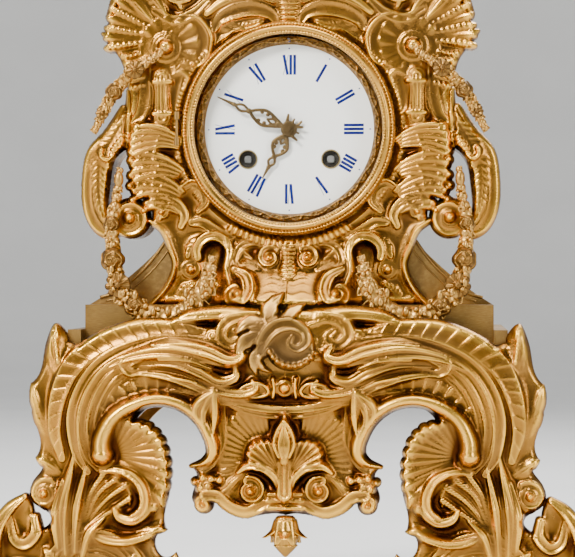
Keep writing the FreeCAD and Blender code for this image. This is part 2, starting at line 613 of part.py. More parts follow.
def plates():
    pillars = [(cell("pillar_circle") * cos(radians(a)), D + cell("pillar_circle") * sin(radians(a)))
               for a in (60, 120, 250, 290)]
    thick, clear = cell("plate_thick"), cell("pivot_gap")
    pivots = [SECOND, THIRD, ESCAPE, STRIKE_SECOND, PIN, FLY]
    front = rod(cell("plate_radius"), cell("front_plate"), cell("front_plate") + thick, 0, D)
    back = rod(cell("plate_radius"), cell("back_plate"), cell("back_plate") + thick, 0, D)
    for x, z in pivots:
        hole = rod(cell("pivot") + clear, -99, 99, x, z)
        front, back = front.cut(hole), back.cut(hole)
    for x, z in BARREL.values():
        front, back = front.cut(rod(2.4 + clear, -99, 99, x, z)), back.cut(rod(1.6 + clear, -99, 99, x, z))
    front = front.cut(rod(1.0 + clear, -99, 99, *C)).cut(rod(0.8 + clear, -99, 99, *PIVOT))
    back = back.cut(rod(0.6 + clear, -99, 99, *C)).cut(rod(0.8 + clear, -99, 99, *PIVOT))
    front = joined([front, rod(0.8, -43.4, cell("front_plate"), *MOTION)])
    stud = rod(1.2, cell("back_plate") + thick, 22.6, *HAMMER)
    back = joined([back, stud, rod(2.6, cell("back_plate") + thick, 18.9, *HAMMER)])
    part("front_plate", feature(front))
    part("back_plate", feature(back))
    posts = [rod(cell("pillar_radius"), cell("front_plate") + thick, cell("back_plate"), x, z)
             for x, z in pillars]
    part("plate_pillars", feature(Part.makeCompound(posts)))


def barrels():
    count, module, drum = teeth("barrel_teeth"), cell("barrel_module"), cell("drum_radius")
    for kind, phase in (("time", 0.1), ("strike", 0.35)):
        x, z = BARREL[kind]
        body = joined([rod(drum, -30, -10.4, x, z), pinion((x, z), count, module, phase, -10.4, -8.6)])
        hollow = rod(drum - 1.2, -28.8, -10.9, x, z).cut(rod(4.0, -29, -10, x, z))
        body = body.cut(hollow).cut(rod(2.45, -40, 0, x, z))
        part(f"{kind}_barrel", feature(body))
        square = Part.makeBox(3.4, 5.4, 3.4, V(x - 1.7, -46.6, z - 1.7))
        ratchet = ratchet_wheel(x, z)
        shaft = [square, rod(2.4, -41.2, -8, x, z), rod(1.6, -8, cell("back_plate") + 1.8, x, z), ratchet]
        part(f"{kind}_winding_arbor", feature(joined(shaft)))
    pawls = [pawl(x, z) for x, z in BARREL.values()]
    part("clicks", feature(Part.makeCompound(pawls)))
    return 0.1, 0.35


RATCHET_RADIUS, RATCHET_TEETH = 6.4, 24


def ratchet_wheel(x, z):
    points = []
    for tooth in range(RATCHET_TEETH):
        angle = 2 * pi * tooth / RATCHET_TEETH
        points += [flat(x + r * cos(angle + turn), z + r * sin(angle + turn))
                   for r, turn in ((RATCHET_RADIUS, 0.0), (RATCHET_RADIUS - 0.9, 0.03))]
    return slab(Part.makePolygon(points + points[:1]), -40.4, -39.2)


def pawl(x, z):
    """A click on its screw, standing just clear of the ratchet's tips."""
    away = -1 if x > 0 else 1
    foot = (x + away * 4.0, z - 10.4)
    tip = [flat(foot[0] - 1.1, foot[1]), flat(foot[0] + 1.1, foot[1]), flat(x + away * 1.2 + 0.4, z - 6.9),
           flat(x + away * 1.2 - 0.8, z - 6.9)]
    arm = slab(Part.makePolygon(tip + tip[:1]), -40.4, -39.2)
    return joined([arm, rod(1.7, -40.4, -39.2, *foot), rod(0.9, -41.2, cell("front_plate"), *foot)])


def going_train(barrel_phase):
    great, module = teeth("great_pinion"), cell("barrel_module")
    phase = in_mesh(BARREL["time"], teeth("barrel_teeth"), barrel_phase, SECOND, great)
    second = joined([wheel(SECOND, teeth("second_teeth"), cell("second_module"), phase, -4, 1.1, 2.6),
                     pinion(SECOND, great, module, phase, -11.4, -7.6)] + arbor(SECOND))
    part("second_wheel", feature(second))
    centre_phase = in_mesh(SECOND, teeth("second_teeth"), phase, C, teeth("centre_pinion"))
    centre = joined([pinion(C, teeth("centre_pinion"), cell("second_module"), centre_phase, -4.6, -2.2),
                     wheel(C, teeth("centre_teeth"), cell("centre_module"), centre_phase, -33.6, 1.1, 2.4),
                     rod(1.0, -51.4, -2.2, *C), rod(0.9, -2.2, 5.7, *C), rod(0.6, 5.7, 7.8, *C)])
    part("centre_wheel", feature(centre))
    third_phase = in_mesh(C, teeth("centre_teeth"), centre_phase, THIRD, teeth("third_pinion"))
    third = joined([pinion(THIRD, teeth("third_pinion"), cell("centre_module"), third_phase, -34.2, -31.9),
                    wheel(THIRD, teeth("third_teeth"), cell("third_module"), third_phase, -1.2, 0.9, 2.0,
                          rim=1.6)]
                   + arbor(THIRD))
    part("third_wheel", feature(third))
    escape_phase = in_mesh(THIRD, teeth("third_teeth"), third_phase, ESCAPE, teeth("escape_pinion"))
    count, radius = teeth("escape_teeth"), cell("escape_radius")
    points = []
    for tooth in range(count):
        angle = 2 * pi * tooth / count
        points += [flat(ESCAPE[0] + r * cos(angle + turn), ESCAPE[1] + r * sin(angle + turn))
                   for r, turn in ((radius, 0.0), (radius - 0.9, 0.02), (radius - 0.9, 0.10))]
    ring = slab(Part.makePolygon(points + points[:1]), 2.4, 3.2)
    for i in range(4):
        gap = window(*ESCAPE, 1.8, radius - 1.9, pi / 2 * i + 0.2, pi / 2 * (i + 1) - 0.2)
        ring = ring.cut(slab(gap, 2, 4))
    escape = joined([ring, pinion(ESCAPE, teeth("escape_pinion"), cell("third_module"), escape_phase, -1.8,
                                  0.4)]
                    + arbor(ESCAPE))
    part("escape_wheel", feature(escape))


def motion_work():
    cannon_phase = 0.2
    module, reach = cell("motion_module"), motion_reach
    cannon = joined([pinion(C, teeth("cannon_teeth"), module, cannon_phase, -39.4, -38.2),
                     rod(1.8, -50.9, -38.2, *C)]).cut(rod(1.02, -60, 0, *C))
    part("cannon_pinion", feature(cannon))
    phase = in_mesh(C, teeth("cannon_teeth"), cannon_phase, MOTION, teeth("minute_teeth"))
    pinion_module = 2 * reach / (cell("minute_pinion") + cell("hour_teeth"))
    minute = joined([pinion(MOTION, teeth("minute_teeth"), module, phase, -39.4, -38.6),
                     pinion(MOTION, teeth("minute_pinion"), pinion_module, phase, -42.4, -39.4)])
    part("minute_wheel", feature(minute.cut(rod(0.85, -60, 0, *MOTION))))
    hour_phase = in_mesh(MOTION, teeth("minute_pinion"), phase, C, teeth("hour_teeth"))
    hour = joined([pinion(C, teeth("hour_teeth"), pinion_module, hour_phase, -42.0, -41.0),
                   rod(2.6, -49.5, -41, *C)])
    part("hour_wheel", feature(hour.cut(rod(1.86, -60, 0, *C))))


def strike_train(barrel_phase):
    phase = in_mesh(BARREL["strike"], teeth("barrel_teeth"), barrel_phase, STRIKE_SECOND,
                    teeth("great_pinion"))
    second = joined([wheel(STRIKE_SECOND, teeth("second_teeth"), cell("second_module"), phase, 1, 1.1, 2.6),
                     pinion(STRIKE_SECOND, teeth("great_pinion"), cell("barrel_module"), phase, -11.4, -7.6)]
                    + arbor(STRIKE_SECOND, back=10.2))
    part("strike_second_wheel", feature(second))
    count_wheel()
    pin_phase = in_mesh(STRIKE_SECOND, teeth("second_teeth"), phase, PIN, teeth("strike_pinion"))
    pins = [rod(0.45, -19, -16.6, PIN[0] + 5.2 * cos(2 * pi * i / 10), PIN[1] + 5.2 * sin(2 * pi * i / 10))
            for i in range(10)]
    plate = pinion(PIN, teeth("pin_teeth"), cell("pin_module"), pin_phase, -20, -19)
    made = joined([pinion(PIN, teeth("strike_pinion"), cell("second_module"), pin_phase, 0.3, 2.9), plate]
                  + pins + arbor(PIN))
    part("pin_wheel", feature(made))
    fly_phase = in_mesh(PIN, teeth("pin_teeth"), pin_phase, FLY, teeth("fly_pinion"))
    blade = Part.makeBox(12.4, 9, 0.5, V(FLY[0] - 6.2, -11, FLY[1] - 0.25))
    fly = joined([pinion(FLY, teeth("fly_pinion"), cell("pin_module"), fly_phase, -21, -18), blade,
                  rod(1.3, -11, -2, *FLY)] + arbor(FLY))
    part("fly", feature(fly))


def count_wheel():
    """The disc that counts the blows: its gaps stand 1 + 1, 2 + 1 ... 12 + 1 blows apart."""
    x, z = STRIKE_SECOND
    disc = rod(12, 8.6, 9.4, x, z)
    blows = 0
    for hour in range(1, 13):
        blows += hour + 1
        notch = Part.makeBox(2.2, 3, 0.9, V(10.4, 8, -0.45))
        notch.rotate(V(0, 0, 0), V(0, 1, 0), 360 * blows / 90)
        notch.translate(V(x, 0, z))
        disc = disc.cut(notch)
    for i in range(4):
        gap = window(x, z, 3.2, 8.6, pi / 2 * i + 0.25, pi / 2 * (i + 1) - 0.25)
        disc = disc.cut(slab(gap, 8, 12))
    part("count_wheel", feature(disc.cut(rod(cell("pivot") + 0.01, 0, 20, x, z))))


def escapement():
    """The anchor over the escape wheel, its arbor through the back plate, and the crutch to the pendulum."""
    toward = atan2(PIVOT[1] - ESCAPE[1], PIVOT[0] - ESCAPE[0])
    clear = cell("escape_radius") + 0.75
    anchor = slab(window(*ESCAPE, clear, clear + 1.5, toward - 0.72, toward + 0.72), 2.4, 3.2)
    hub = rod(1.8, 2.0, 3.6, *PIVOT)
    stem = Part.makeBox(1.6, 0.8, 3.6, V(-0.8, 2.4, -3.6))
    stem.rotate(V(0, 0, 0), V(0, 1, 0), -degrees(toward - pi / 2))
    stem.translate(V(PIVOT[0], 0, PIVOT[1]))
    staff = rod(0.8, cell("front_plate") + 0.2, 12.2, *PIVOT)
    crutch = Part.makeBox(1.6, 1.0, 26, V(-0.8, 10.6, PIVOT[1] - 26))
    fork = [Part.makeBox(1.0, 5.4, 3, V(side - 0.5, 10.6, PIVOT[1] - 27)) for side in (-1.9, 1.9)]
    bridge = Part.makeBox(4.8, 1.0, 3, V(-2.4, 10.6, PIVOT[1] - 27))
    part("verge", feature(joined([anchor, hub, stem, staff, crutch, bridge] + fork)))


def pendulum():
    bob_z = "Dims.dial_height + Dims.pivot_rise - Dims.pendulum_length"
    top = "Dims.dial_height + Dims.pivot_rise"
    y = "Dims.pendulum_y"
    spring = block(("-0.1", f"{y} - 1.6", f"{top} - 9"), ("0.1", f"{y} + 1.6", f"{top} + 5"))
    pin = bar("0.7", f"{y} - 2.6", f"{y} + 2.6", z=f"{top} + 5")
    rod_body = fuse(post("1.1", f"{bob_z} - 15", f"{top} - 8", y=y), spring, pin)
    bore = post("1.15", f"{bob_z} - 20", f"{bob_z} + 20", y=y)
    bob = cut(bar("Dims.bob_radius", f"{y} - Dims.bob_thick / 2", f"{y} + Dims.bob_thick / 2", z=bob_z), bore)
    nut = cut(post("2.8", f"{bob_z} - 14", f"{bob_z} - 11.6", y=y), bore)
    part("pendulum_rod", rod_body)
    weight = doc.addObject("Part::Compound", "weight")
    weight.Links = [bob, nut]
    part("pendulum_bob", weight)


def suspension():
    """The cock on the back plate, slotted for the spring, with the seat for its pin."""
    y, top = "Dims.pendulum_y", "Dims.dial_height + Dims.pivot_rise"
    body = block(("-7", "Dims.back_plate + Dims.plate_thick", f"{top} + 2"),
                 ("7", f"{y} + 4.5", f"{top} + 15"))
    slot = block(("-0.8", f"{y} - 2.2", f"{top} - 3"), ("0.8", f"{y} + 2.2", f"{top} + 8"))
    seat = block(("-1.6", f"{y} - 3", f"{top} + 4.25"), ("1.6", f"{y} + 3", f"{top} + 8"))
    passage = bar("1.12", "0", "30", z="Dims.dial_height + Dims.regulator_rise")
    part("suspension_cock", cut(body, slot, seat, passage))
    arbor_z = "Dims.dial_height + Dims.regulator_rise"
    square = block(("-0.75", "-50.6", f"{arbor_z} - 0.75"), ("0.75", "-47", f"{arbor_z} + 0.75"))
    part("regulator_arbor", fuse(bar("1.05", "-47", "10.4", z=arbor_z), square))


def striking_work():
    radius, wall, depth = cell("bell_radius"), cell("bell_wall"), cell("bell_depth")
    centre = D - cell("bell_drop")
    rim = cell("bell_rim")
    arcs = [Part.ArcOfEllipse(Part.Ellipse(V(r, rim, 0), V(0, rim + d, 0), V(0, rim, 0)), 0, acos(1.6 / r))
            for r, d in ((radius, depth), (radius - wall, depth - wall))]
    curves = [arcs[0].toShape(), Part.LineSegment(arcs[0].EndPoint, arcs[1].EndPoint).toShape(),
              arcs[1].toShape(), Part.LineSegment(arcs[1].StartPoint, arcs[0].StartPoint).toShape()]
    bell = Part.Face(Part.Wire(curves)).revolve(V(0, 0, 0), V(0, 1, 0), 360)
    bell.translate(V(0, 0, centre))
    top = rim + depth
    part("bell", feature(bell))
    arm = top - 7
    stand = [rod(2.0, cell("back_plate") + 2, arm + 2.4, 15, centre),
             Part.makeBox(17, 2.4, 4, V(-2, arm, centre - 2)),
             rod(3.0, arm + 2.4, top - wall - 0.1, 0, centre), rod(1.5, arm, top + 3, 0, centre)]
    part("bell_stand", feature(joined(stand)))
    part("bell_nut", feature(rod(3.4, top + 0.05, top + 2.6, 0,
                                 centre).cut(rod(1.52, top - 1, top + 6, 0, centre))))
    head = (37.6, D + 2.6)
    boss = rod(2.2, 19.0, 22.4, *HAMMER).cut(rod(1.25, 10, 30, *HAMMER))
    shank = Part.makeCylinder(0.8, hypot(head[0] - HAMMER[0], head[1] - HAMMER[1]) - 2,
                              V(HAMMER[0], 20.8, HAMMER[1] + 2),
                              V(head[0] - HAMMER[0], 0, head[1] - HAMMER[1]))
    shank = shank.cut(rod(1.3, 10, 30, *HAMMER))
    knob = Part.makeCylinder(3.0, 8, V(head[0] - 5.3, 24.0, head[1]), V(1, 0, 0))
    neck = rod(0.8, 20.4, 24, *head)
    part("hammer", feature(joined([boss, shank, knob, neck])))


def straps_and_door():
    straps = [Part.makeBox(1.2, cell("case_back") - cell("plate_back"), 8, V(x, cell("plate_back"), D - 4))
              for x in (48.6, -49.8)]
    part("movement_straps", feature(Part.makeCompound(straps)))
    back = cell("case_back") + cell("shell_wall")
    radius, thick = cell("door_radius"), cell("door_thick")
    door = rod(radius, back + 0.4, back + 0.4 + thick, 0, D)
    for i in range(8):  # the sound holes that let the bell be heard
        gap = window(0, D, 16, 34, pi / 4 * i + 0.12, pi / 4 * (i + 1) - 0.12)
        door = door.cut(slab(gap, back, back + 9))
    knob = rod(3, back + 0.4 + thick, back + 6, -44, D)
    axis_x, axis_y = radius + 2.4, back + 2.0
    knuckle = Part.makeCylinder(1.8, 8, V(axis_x, axis_y, D - 4)).cut(
        Part.makeCylinder(0.85, 20, V(axis_x, axis_y, D - 10)))
    leaf = Part.makeBox(3.4, thick, 8, V(radius - 1.6, back + 0.4, D - 4)).cut(
        Part.makeCylinder(1.2, 20, V(axis_x, axis_y, D - 10)))
    part("back_door", feature(joined([door, knob, leaf, knuckle])))
    pin = Part.makeCylinder(0.8, 20, V(axis_x, axis_y, D - 10))
    ears = [Part.makeCylinder(1.8, 5.6, V(axis_x, axis_y, D + low)) for low in (-10, 4.4)]
    pads = [Part.makeBox(4.0, 1.0, 5.6, V(axis_x, back, D + low)) for low in (-10, 4.4)]
    trimmed = joined([pin] + ears + pads).cut(Part.makeBox(20, 10, 40, V(axis_x - 10, back - 10, D - 20)))
    part("door_hinge", feature(trimmed))


def build():
    case_front()
    case_shell()
    handle(-1)
    handle(1)
    garlands()
    crest()
    platform()
    case_bolts()
    base()
    dial()
    bezel()
    hands()
    plates()
    time_phase, strike_phase = barrels()
    going_train(time_phase)
    motion_work()
    strike_train(strike_phase)
    escapement()
    pendulum()
    suspension()
    striking_work()
    straps_and_door()


def check_and_write():
    doc.recompute()
    broken = [o.Label for o in doc.Objects if "Invalid" in o.State or "Error" in o.State]
    wrong = [o.Label for o in parts if o.Shape.isNull() or not o.Shape.isValid() or not o.Shape.Solids]
    if broken or wrong:
        raise SystemExit(f"not written: broken {broken}, wrong {wrong}")
    os.makedirs("parts", exist_ok=True)
    for old in os.listdir("parts"):
        os.remove(os.path.join("parts", old))
    for obj in parts:
        obj.Shape.exportStep(os.path.join("parts", obj.Label + ".step"))
    print(len(parts), "parts")


build()
check_and_write()
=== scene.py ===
"""A gilt-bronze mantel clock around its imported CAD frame.

The castings' relief is worked out as height fields in millimetres over the (x, z) plane of each casting:
strokes, fans, leaves and volutes are laid on, and the field becomes a closed mesh that fills the outline
of the CAD casting. Garlands, hands, rings and movement finishes follow.
"""

import json
from math import cos, hypot, pi, radians, sin

import bpy
import numpy as np
from mathutils import Matrix, Vector


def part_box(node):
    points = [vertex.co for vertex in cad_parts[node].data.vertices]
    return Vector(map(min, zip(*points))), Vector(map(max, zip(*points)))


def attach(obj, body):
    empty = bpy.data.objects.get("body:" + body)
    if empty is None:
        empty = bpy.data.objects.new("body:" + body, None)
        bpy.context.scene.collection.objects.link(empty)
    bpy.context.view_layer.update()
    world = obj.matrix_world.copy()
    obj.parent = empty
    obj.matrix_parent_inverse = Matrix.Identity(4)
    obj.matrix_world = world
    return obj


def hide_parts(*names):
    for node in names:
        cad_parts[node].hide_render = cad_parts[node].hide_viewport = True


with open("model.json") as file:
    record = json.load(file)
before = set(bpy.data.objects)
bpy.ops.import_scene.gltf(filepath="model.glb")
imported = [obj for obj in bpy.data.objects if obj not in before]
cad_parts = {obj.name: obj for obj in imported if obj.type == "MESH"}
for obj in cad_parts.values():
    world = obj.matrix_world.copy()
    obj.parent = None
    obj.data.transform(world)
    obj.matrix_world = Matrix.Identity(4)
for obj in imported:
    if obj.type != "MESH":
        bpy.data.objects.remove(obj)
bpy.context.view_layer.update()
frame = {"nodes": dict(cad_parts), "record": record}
nodes = frame["nodes"]
MM = 0.001


def box_mm(node):
    low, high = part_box(node)
    return np.array(low) / MM, np.array(high) / MM


dial_low, dial_high = box_mm("dial_enamel")
DIAL_Z = (dial_low[2] + dial_high[2]) / 2
DIAL_FRONT = dial_low[1]


# ---------------------------------------------------------------- curves and profiles
def smooth(points, spacing=0.45):
    """Points along a Catmull-Rom curve, evenly spaced, with each one's share of the whole length."""
    p = np.array(points, float)
    if len(p) > 2:
        closed = np.allclose(p[0], p[-1])
        before, after = (p[-2], p[1]) if closed else (2 * p[0] - p[1], 2 * p[-1] - p[-2])
        q = np.vstack([before, p, after])
        t = np.linspace(0, 1, 24, endpoint=False)[:, None]
        runs = [0.5 * ((2 * b) + (c - a) * t + (2 * a - 5 * b + 4 * c - d) * t ** 2
                       + (3 * b - a - 3 * c + d) * t ** 3) for a, b, c, d in zip(q, q[1:], q[2:], q[3:])]
        keys = np.repeat(np.arange(len(p) - 1), 24) + np.tile(t[:, 0], len(p) - 1)
        p, keys = np.vstack(runs + [p[-1:]]), np.append(keys, len(p) - 1.0)
    else:
        keys = np.arange(len(p), dtype=float)
    length = np.concatenate([[0], np.cumsum(np.hypot(*np.diff(p, axis=0).T))])
    count = max(3, int(length[-1] / spacing) + 1)
    even = np.linspace(0, length[-1], count)
    return np.column_stack([np.interp(even, length, axis) for axis in p.T]), even, np.interp(even, length,
                                                                                             keys)


def arc(centre, radius, start, end, count=9):
    angles = np.radians(np.linspace(start, end, count))
    return [(centre[0] + radius * cos(a), centre[1] + radius * sin(a)) for a in angles]


def spiral(centre, radius, start, turns, end_radius=0.12):
    """From the outside in; positive turns run anticlockwise."""
    count = max(8, int(abs(turns) * 12))
    shares = np.linspace(0, 1, count)
    return [(centre[0] + radius * (1 - (1 - end_radius) * k) * cos(radians(start) + 2 * pi * turns * k),
             centre[1] + radius * (1 - (1 - end_radius) * k) * sin(radians(start) + 2 * pi * turns * k))
             for k in shares]


def root(v):
    return np.sqrt(np.clip(v, 0, 1))


def dome(u, s):
    return root(1 - u * u)


def gutter(u, s):
    """A scroll moulding: a hollow between two crisp rims."""
    return root(1 - u ** 10) * (0.48 + 0.52 * np.abs(u) ** 2.6)


def plume(u, s):
    """A swelling body drawn with fine lengthwise lines."""
    return root(1 - np.abs(u) ** 2.6) * (0.90 + 0.10 * np.cos(9 * u + 0.12 * s))


def cove(u, s):
    """A hollow band whose left rim stands up, crossed by thin slanting fillets."""
    bar = np.exp(-((((s + 2.6 * u) / 7.2) % 1 - 0.5) / 0.055) ** 2)
    rims = 0.42 * np.clip(u, 0, 1) ** 3 + 0.22 * np.clip(-u, 0, 1) ** 5
    return root(1 - u ** 12) * (0.50 + rims + 0.17 * bar * (1 - u * u))


def lip(u, s):
    """A band with a heavy rim on its left side and a thin one on its right."""
    heavy = 0.5 * np.exp(-((u - 0.62) / 0.3) ** 2)
    thin = 0.18 * np.exp(-((u + 0.8) / 0.14) ** 2)
    return root(1 - u ** 6) * (0.42 + heavy + thin)


def reeded(count):
    return lambda u, s: root(1 - u ** 4) * (0.72 + 0.28 * np.abs(np.cos(count * pi * u / 2)))


def ribbed(pitch, depth=0.4, slant=0.0):
    """A band crossed by round ribs."""
    return lambda u, s: root(1 - u ** 4) * (1 - depth + depth * np.abs(np.sin(pi * (s / pitch + slant * u))))


def beaded(pitch, floor=0.25):
    def made(u, s):
        along = ((s / pitch) % 1 - 0.5) * 2
        return np.maximum(floor * root(1 - u ** 4), root(1 - u * u - along * along * 0.9))
    return made


def steps(count):
    return lambda u, s: root(1 - u ** 12) * (0.4 + 0.6 * np.ceil((1 - np.abs(u)) * count) / count)


def cup(floor, power):
    """A round boss with a raised rim and a sunk middle."""
    return lambda k: root(1 - k ** 8) * (floor + (1 - floor) * k ** power)


def disc(k):
    """A flat round boss with a soft edge."""
    return root(1 - k ** 6)


# ---------------------------------------------------------------- the height field
class Relief:
    """Heights over a grid; depth is how far the inside of the outline a point lies."""

    def __init__(self, low, high, step, half=False):
        """half makes only the left side, as far as x = 0."""
        self.step = step
        x = np.arange(low[0], high[0] + step / 2, step)
        if half:
            x = np.linspace(low[0], 0, int(round(-low[0] / step)) + 1)
        self.x, self.z = x, np.arange(low[1], high[1] + step / 2, step)
        self.X, self.Z = np.meshgrid(self.x, self.z)
        self.h = np.zeros(self.X.shape)
        self.depth = np.full(self.X.shape, -99.0)

    def window(self, points, reach):
        p = np.array(points)
        i = np.searchsorted(self.x, [p[:, 0].min() - reach, p[:, 0].max() + reach])
        j = np.searchsorted(self.z, [p[:, 1].min() - reach, p[:, 1].max() + reach])
        return (slice(*j), slice(*i))

    def fill_outline(self, loops):
        """depth becomes the signed distance to the loops, positive inside."""
        best = np.full(self.X.shape, 1e9)
        inside = np.zeros(self.X.shape, bool)
        for loop in loops:
            for (ax, az), (bx, bz) in zip(loop, np.roll(loop, -1, 0)):
                dx, dz = bx - ax, bz - az
                t = np.clip(((self.X - ax) * dx + (self.Z - az) * dz) / (dx * dx + dz * dz + 1e-12), 0, 1)
                best = np.minimum(best, (self.X - ax - t * dx) ** 2 + (self.Z - az - t * dz) ** 2)
                crosses = ((az > self.Z) != (bz > self.Z))
                if az != bz:
                    inside ^= crosses & (self.X < (bx - ax) * (self.Z - az) / (bz - az) + ax)
        self.depth = np.where(inside, 1, -1) * np.sqrt(best)

    def near(self, points, reach):
        """For the cells around a curve: side offset, distance along, key, end overrun and length."""
        curve, along, keys = smooth(points)
        win = self.window(curve, reach)
        X, Z = self.X[win], self.Z[win]
        if X.size == 0:
            return win, None
        tangent = np.gradient(curve, axis=0)
        tangent /= np.hypot(*tangent.T)[:, None] + 1e-9
        index = np.zeros(X.shape, int)
        best = np.full(X.shape, 1e9)
        for k, (cx, cz) in enumerate(curve):
            d = (X - cx) ** 2 + (Z - cz) ** 2
            closer = d < best
            best[closer] = d[closer]
            index[closer] = k
        rx, rz = X - curve[index, 0], Z - curve[index, 1]
        tx, tz = tangent[index, 0], tangent[index, 1]
        forward = rx * tx + rz * tz
        side = tx * rz - tz * rx
        over = np.where((index == 0) | (index == len(curve) - 1), np.abs(forward), 0)
        return win, (side, along[index] + forward, keys[index], over, along[-1])

    def put(self, win, height, mask, level=0.0, mode="max", proud=False, field=None):
        """Raises the masked cells to level + height; "over" lowers them too; proud widens the outline."""
        old = self.h[win]
        new = level + height
        if mode == "max":
            new = np.maximum(old, new)
        self.h[win] = np.where(mask, new, old)
        if proud:
            self.depth[win] = np.maximum(self.depth[win], field)

    def stroke(self, points, width, height, profile=dome, level=0.0, mode="max", proud=False):
        """A band along a curve; width (half of it) and height may be lists, one value for each point."""
        widths, heights = np.atleast_1d(width).astype(float), np.atleast_1d(height).astype(float)
        win, found = self.near(points, widths.max() + 1)
        if found is None:
            return
        side, along, key, over, _ = found
        share = key / max(len(points) - 1, 1)
        w = np.interp(share, np.linspace(0, 1, len(widths)), widths) + 1e-6
        high = np.interp(share, np.linspace(0, 1, len(heights)), heights)
        reach = np.hypot(side, over)
        u = np.clip(np.sign(side) * reach / w, -1, 1)
        mask = reach < w
        self.put(win, high * profile(u, along), mask, level, mode, proud, w - reach)

    def leaf(self, points, width, height, lobes=5, veins=2.2, level=0.0, curl=0.5, proud=False, mode="max"):
        """An acanthus leaf from its root to its tip, with lobed edges and slanting veins."""
        win, found = self.near(points, width + 1)
        if found is None:
            return
        side, along, _, over, total = found
        t = np.clip(along / total, 0, 1)
        envelope = np.clip(np.sin(pi * np.clip(t, 0.02, 1) ** 0.62), 0, 1) ** 0.55
        lobe = 0.80 + 0.20 * np.abs(np.sin(pi * lobes * t ** 1.1))
        w = width * np.maximum(envelope * lobe, 0.06)
        reach = np.hypot(side, over)
        u = np.clip(reach / w, 0, 1)
        mask = reach < w
        rise = 0.62 + curl * t ** 2 - 0.25 * (t > 0.93) * (t - 0.93) / 0.07
        vein = 0.16 * np.cos(2 * pi * (along / veins - 1.3 * u)) * u ** 0.5 * (1 - u ** 4)
        groove = 0.22 * np.exp(-(side / (0.10 * width)) ** 2)
        body = root(1 - u ** 3) * (0.85 + 0.15 * u) + vein - groove
        self.put(win, height * rise * body, mask, level, mode, proud, w - reach)

    def fan(self, centre, inner, outer, start, end, ribs, height, level=0.0, scallop=0.08, dish=1.5,
            beads=0.0,
            proud=False, mode="max", floor=0.25, fillets=False, curve=0.0):
        """A shell: ribs spreading from a centre to a scalloped edge; outer may be a list over the turn.

        curve is how many degrees the ribs bend on their way out."""
        cx, cz = centre
        reaches = np.atleast_1d(outer).astype(float)
        far = reaches.max()
        win = self.window([(cx - far, cz - far), (cx + far, cz + far)], 1)
        X, Z = self.X[win] - cx, self.Z[win] - cz
        if X.size == 0:
            return
        r = np.hypot(X, Z)
        turn = (np.degrees(np.arctan2(Z, X)) - start + curve * (1 - r / far)) % 360
        t = turn / (end - start)
        share = np.clip(t, 0, 1)
        rim = np.interp(share, np.linspace(0, 1, len(reaches)), reaches)
        rib = np.abs(np.sin(pi * ribs * share))
        edge = rim * (1 - scallop * (1 - rib ** 0.7))
        k = np.clip((r - inner) / (edge - inner), 0, 1)
        mask = (t <= 1) & (r > inner) & (r < edge)
        fall = root(1 - np.clip((k - 0.9) / 0.1, 0, 1) ** 2 * 0.7)
        line = np.exp(-(((ribs * share) % 1 - 0.5) / 0.09) ** 2) if fillets else rib
        shape = (floor + (1 - floor) * k ** dish) * (0.66 + 0.34 * line) * fall
        if beads:
            odd = (np.floor(np.clip(t, 0, 0.999) * ribs).astype(int) % 2) == 0
            drop = root(1 - (((r / beads) % 1 - 0.5) * 2) ** 2 - (1 - rib) ** 2)
            shape = np.where(odd, shape * 0.74 + 0.26 * drop, shape)
        field = np.where(t <= 1, np.minimum(edge - r, r - inner), -99)
        self.put(win, height * shape, mask, level, mode, proud, field)

    def boss(self, centre, radius, height, level=0.0, profile=lambda k: root(1 - k * k), proud=False,
             mode="max"):
        cx, cz = centre
        win = self.window([(cx - radius, cz - radius), (cx + radius, cz + radius)], 1)
        k = np.hypot(self.X[win] - cx, self.Z[win] - cz) / radius
        self.put(win, height * profile(np.clip(k, 0, 1)), k < 1, level, mode, proud, radius * (1 - k))

    def volute(self, centre, radius, start, turns, width, height, level=0.0, proud=False):
        """A scroll that winds in to a round eye; a proud one has a disc behind it."""
        if proud:
            self.boss(centre, radius, height * 0.3, level, disc, True)
        path = spiral(centre, radius - width, start, turns)
        self.stroke(path, [width, width * 0.8, width * 0.45], [height * 0.8, height, height * 1.1], gutter,
                    level)
        self.boss(centre, radius * 0.26, height * 0.7, level + height * 0.5)

    def both_sides(self):
        """The field with its mirror image across x = 0."""
        full = Relief.__new__(Relief)
        full.step = self.step
        full.x = np.concatenate([self.x, -self.x[-2::-1]])
        full.z = self.z
        full.X, full.Z = np.meshgrid(full.x, full.z)
        full.h = np.hstack([self.h, self.h[:, -2::-1]])
        full.depth = np.hstack([self.depth, self.depth[:, -2::-1]])
        return full


def blurred(field, radius):
    """Three box passes, near enough to a Gaussian; radius is in cells."""
    for _ in range(3):
        for axis in (0, 1):
            pad = [(radius + 1, radius) if a == axis else (0, 0) for a in (0, 1)]
            total = np.cumsum(np.pad(field, pad, mode="edge"), axis=axis)
            size = 2 * radius + 1
            field = (np.take(total, np.arange(size, total.shape[axis]), axis)
                     - np.take(total, np.arange(0, total.shape[axis] - size), axis)) / size
    return field


def new_object(name, points, faces, material, shade=True):
    mesh = bpy.data.meshes.new(name)
    mesh.from_pydata([tuple(p) for p in np.asarray(points) * MM], [], [tuple(f) for f in faces])
    mesh.update()
    obj = bpy.data.objects.new(name, mesh)
    bpy.context.scene.collection.objects.link(obj)
    if shade:
        mesh.polygons.foreach_set("use_smooth", np.ones(len(mesh.polygons), bool))
    mesh.materials.append(material)
    return obj


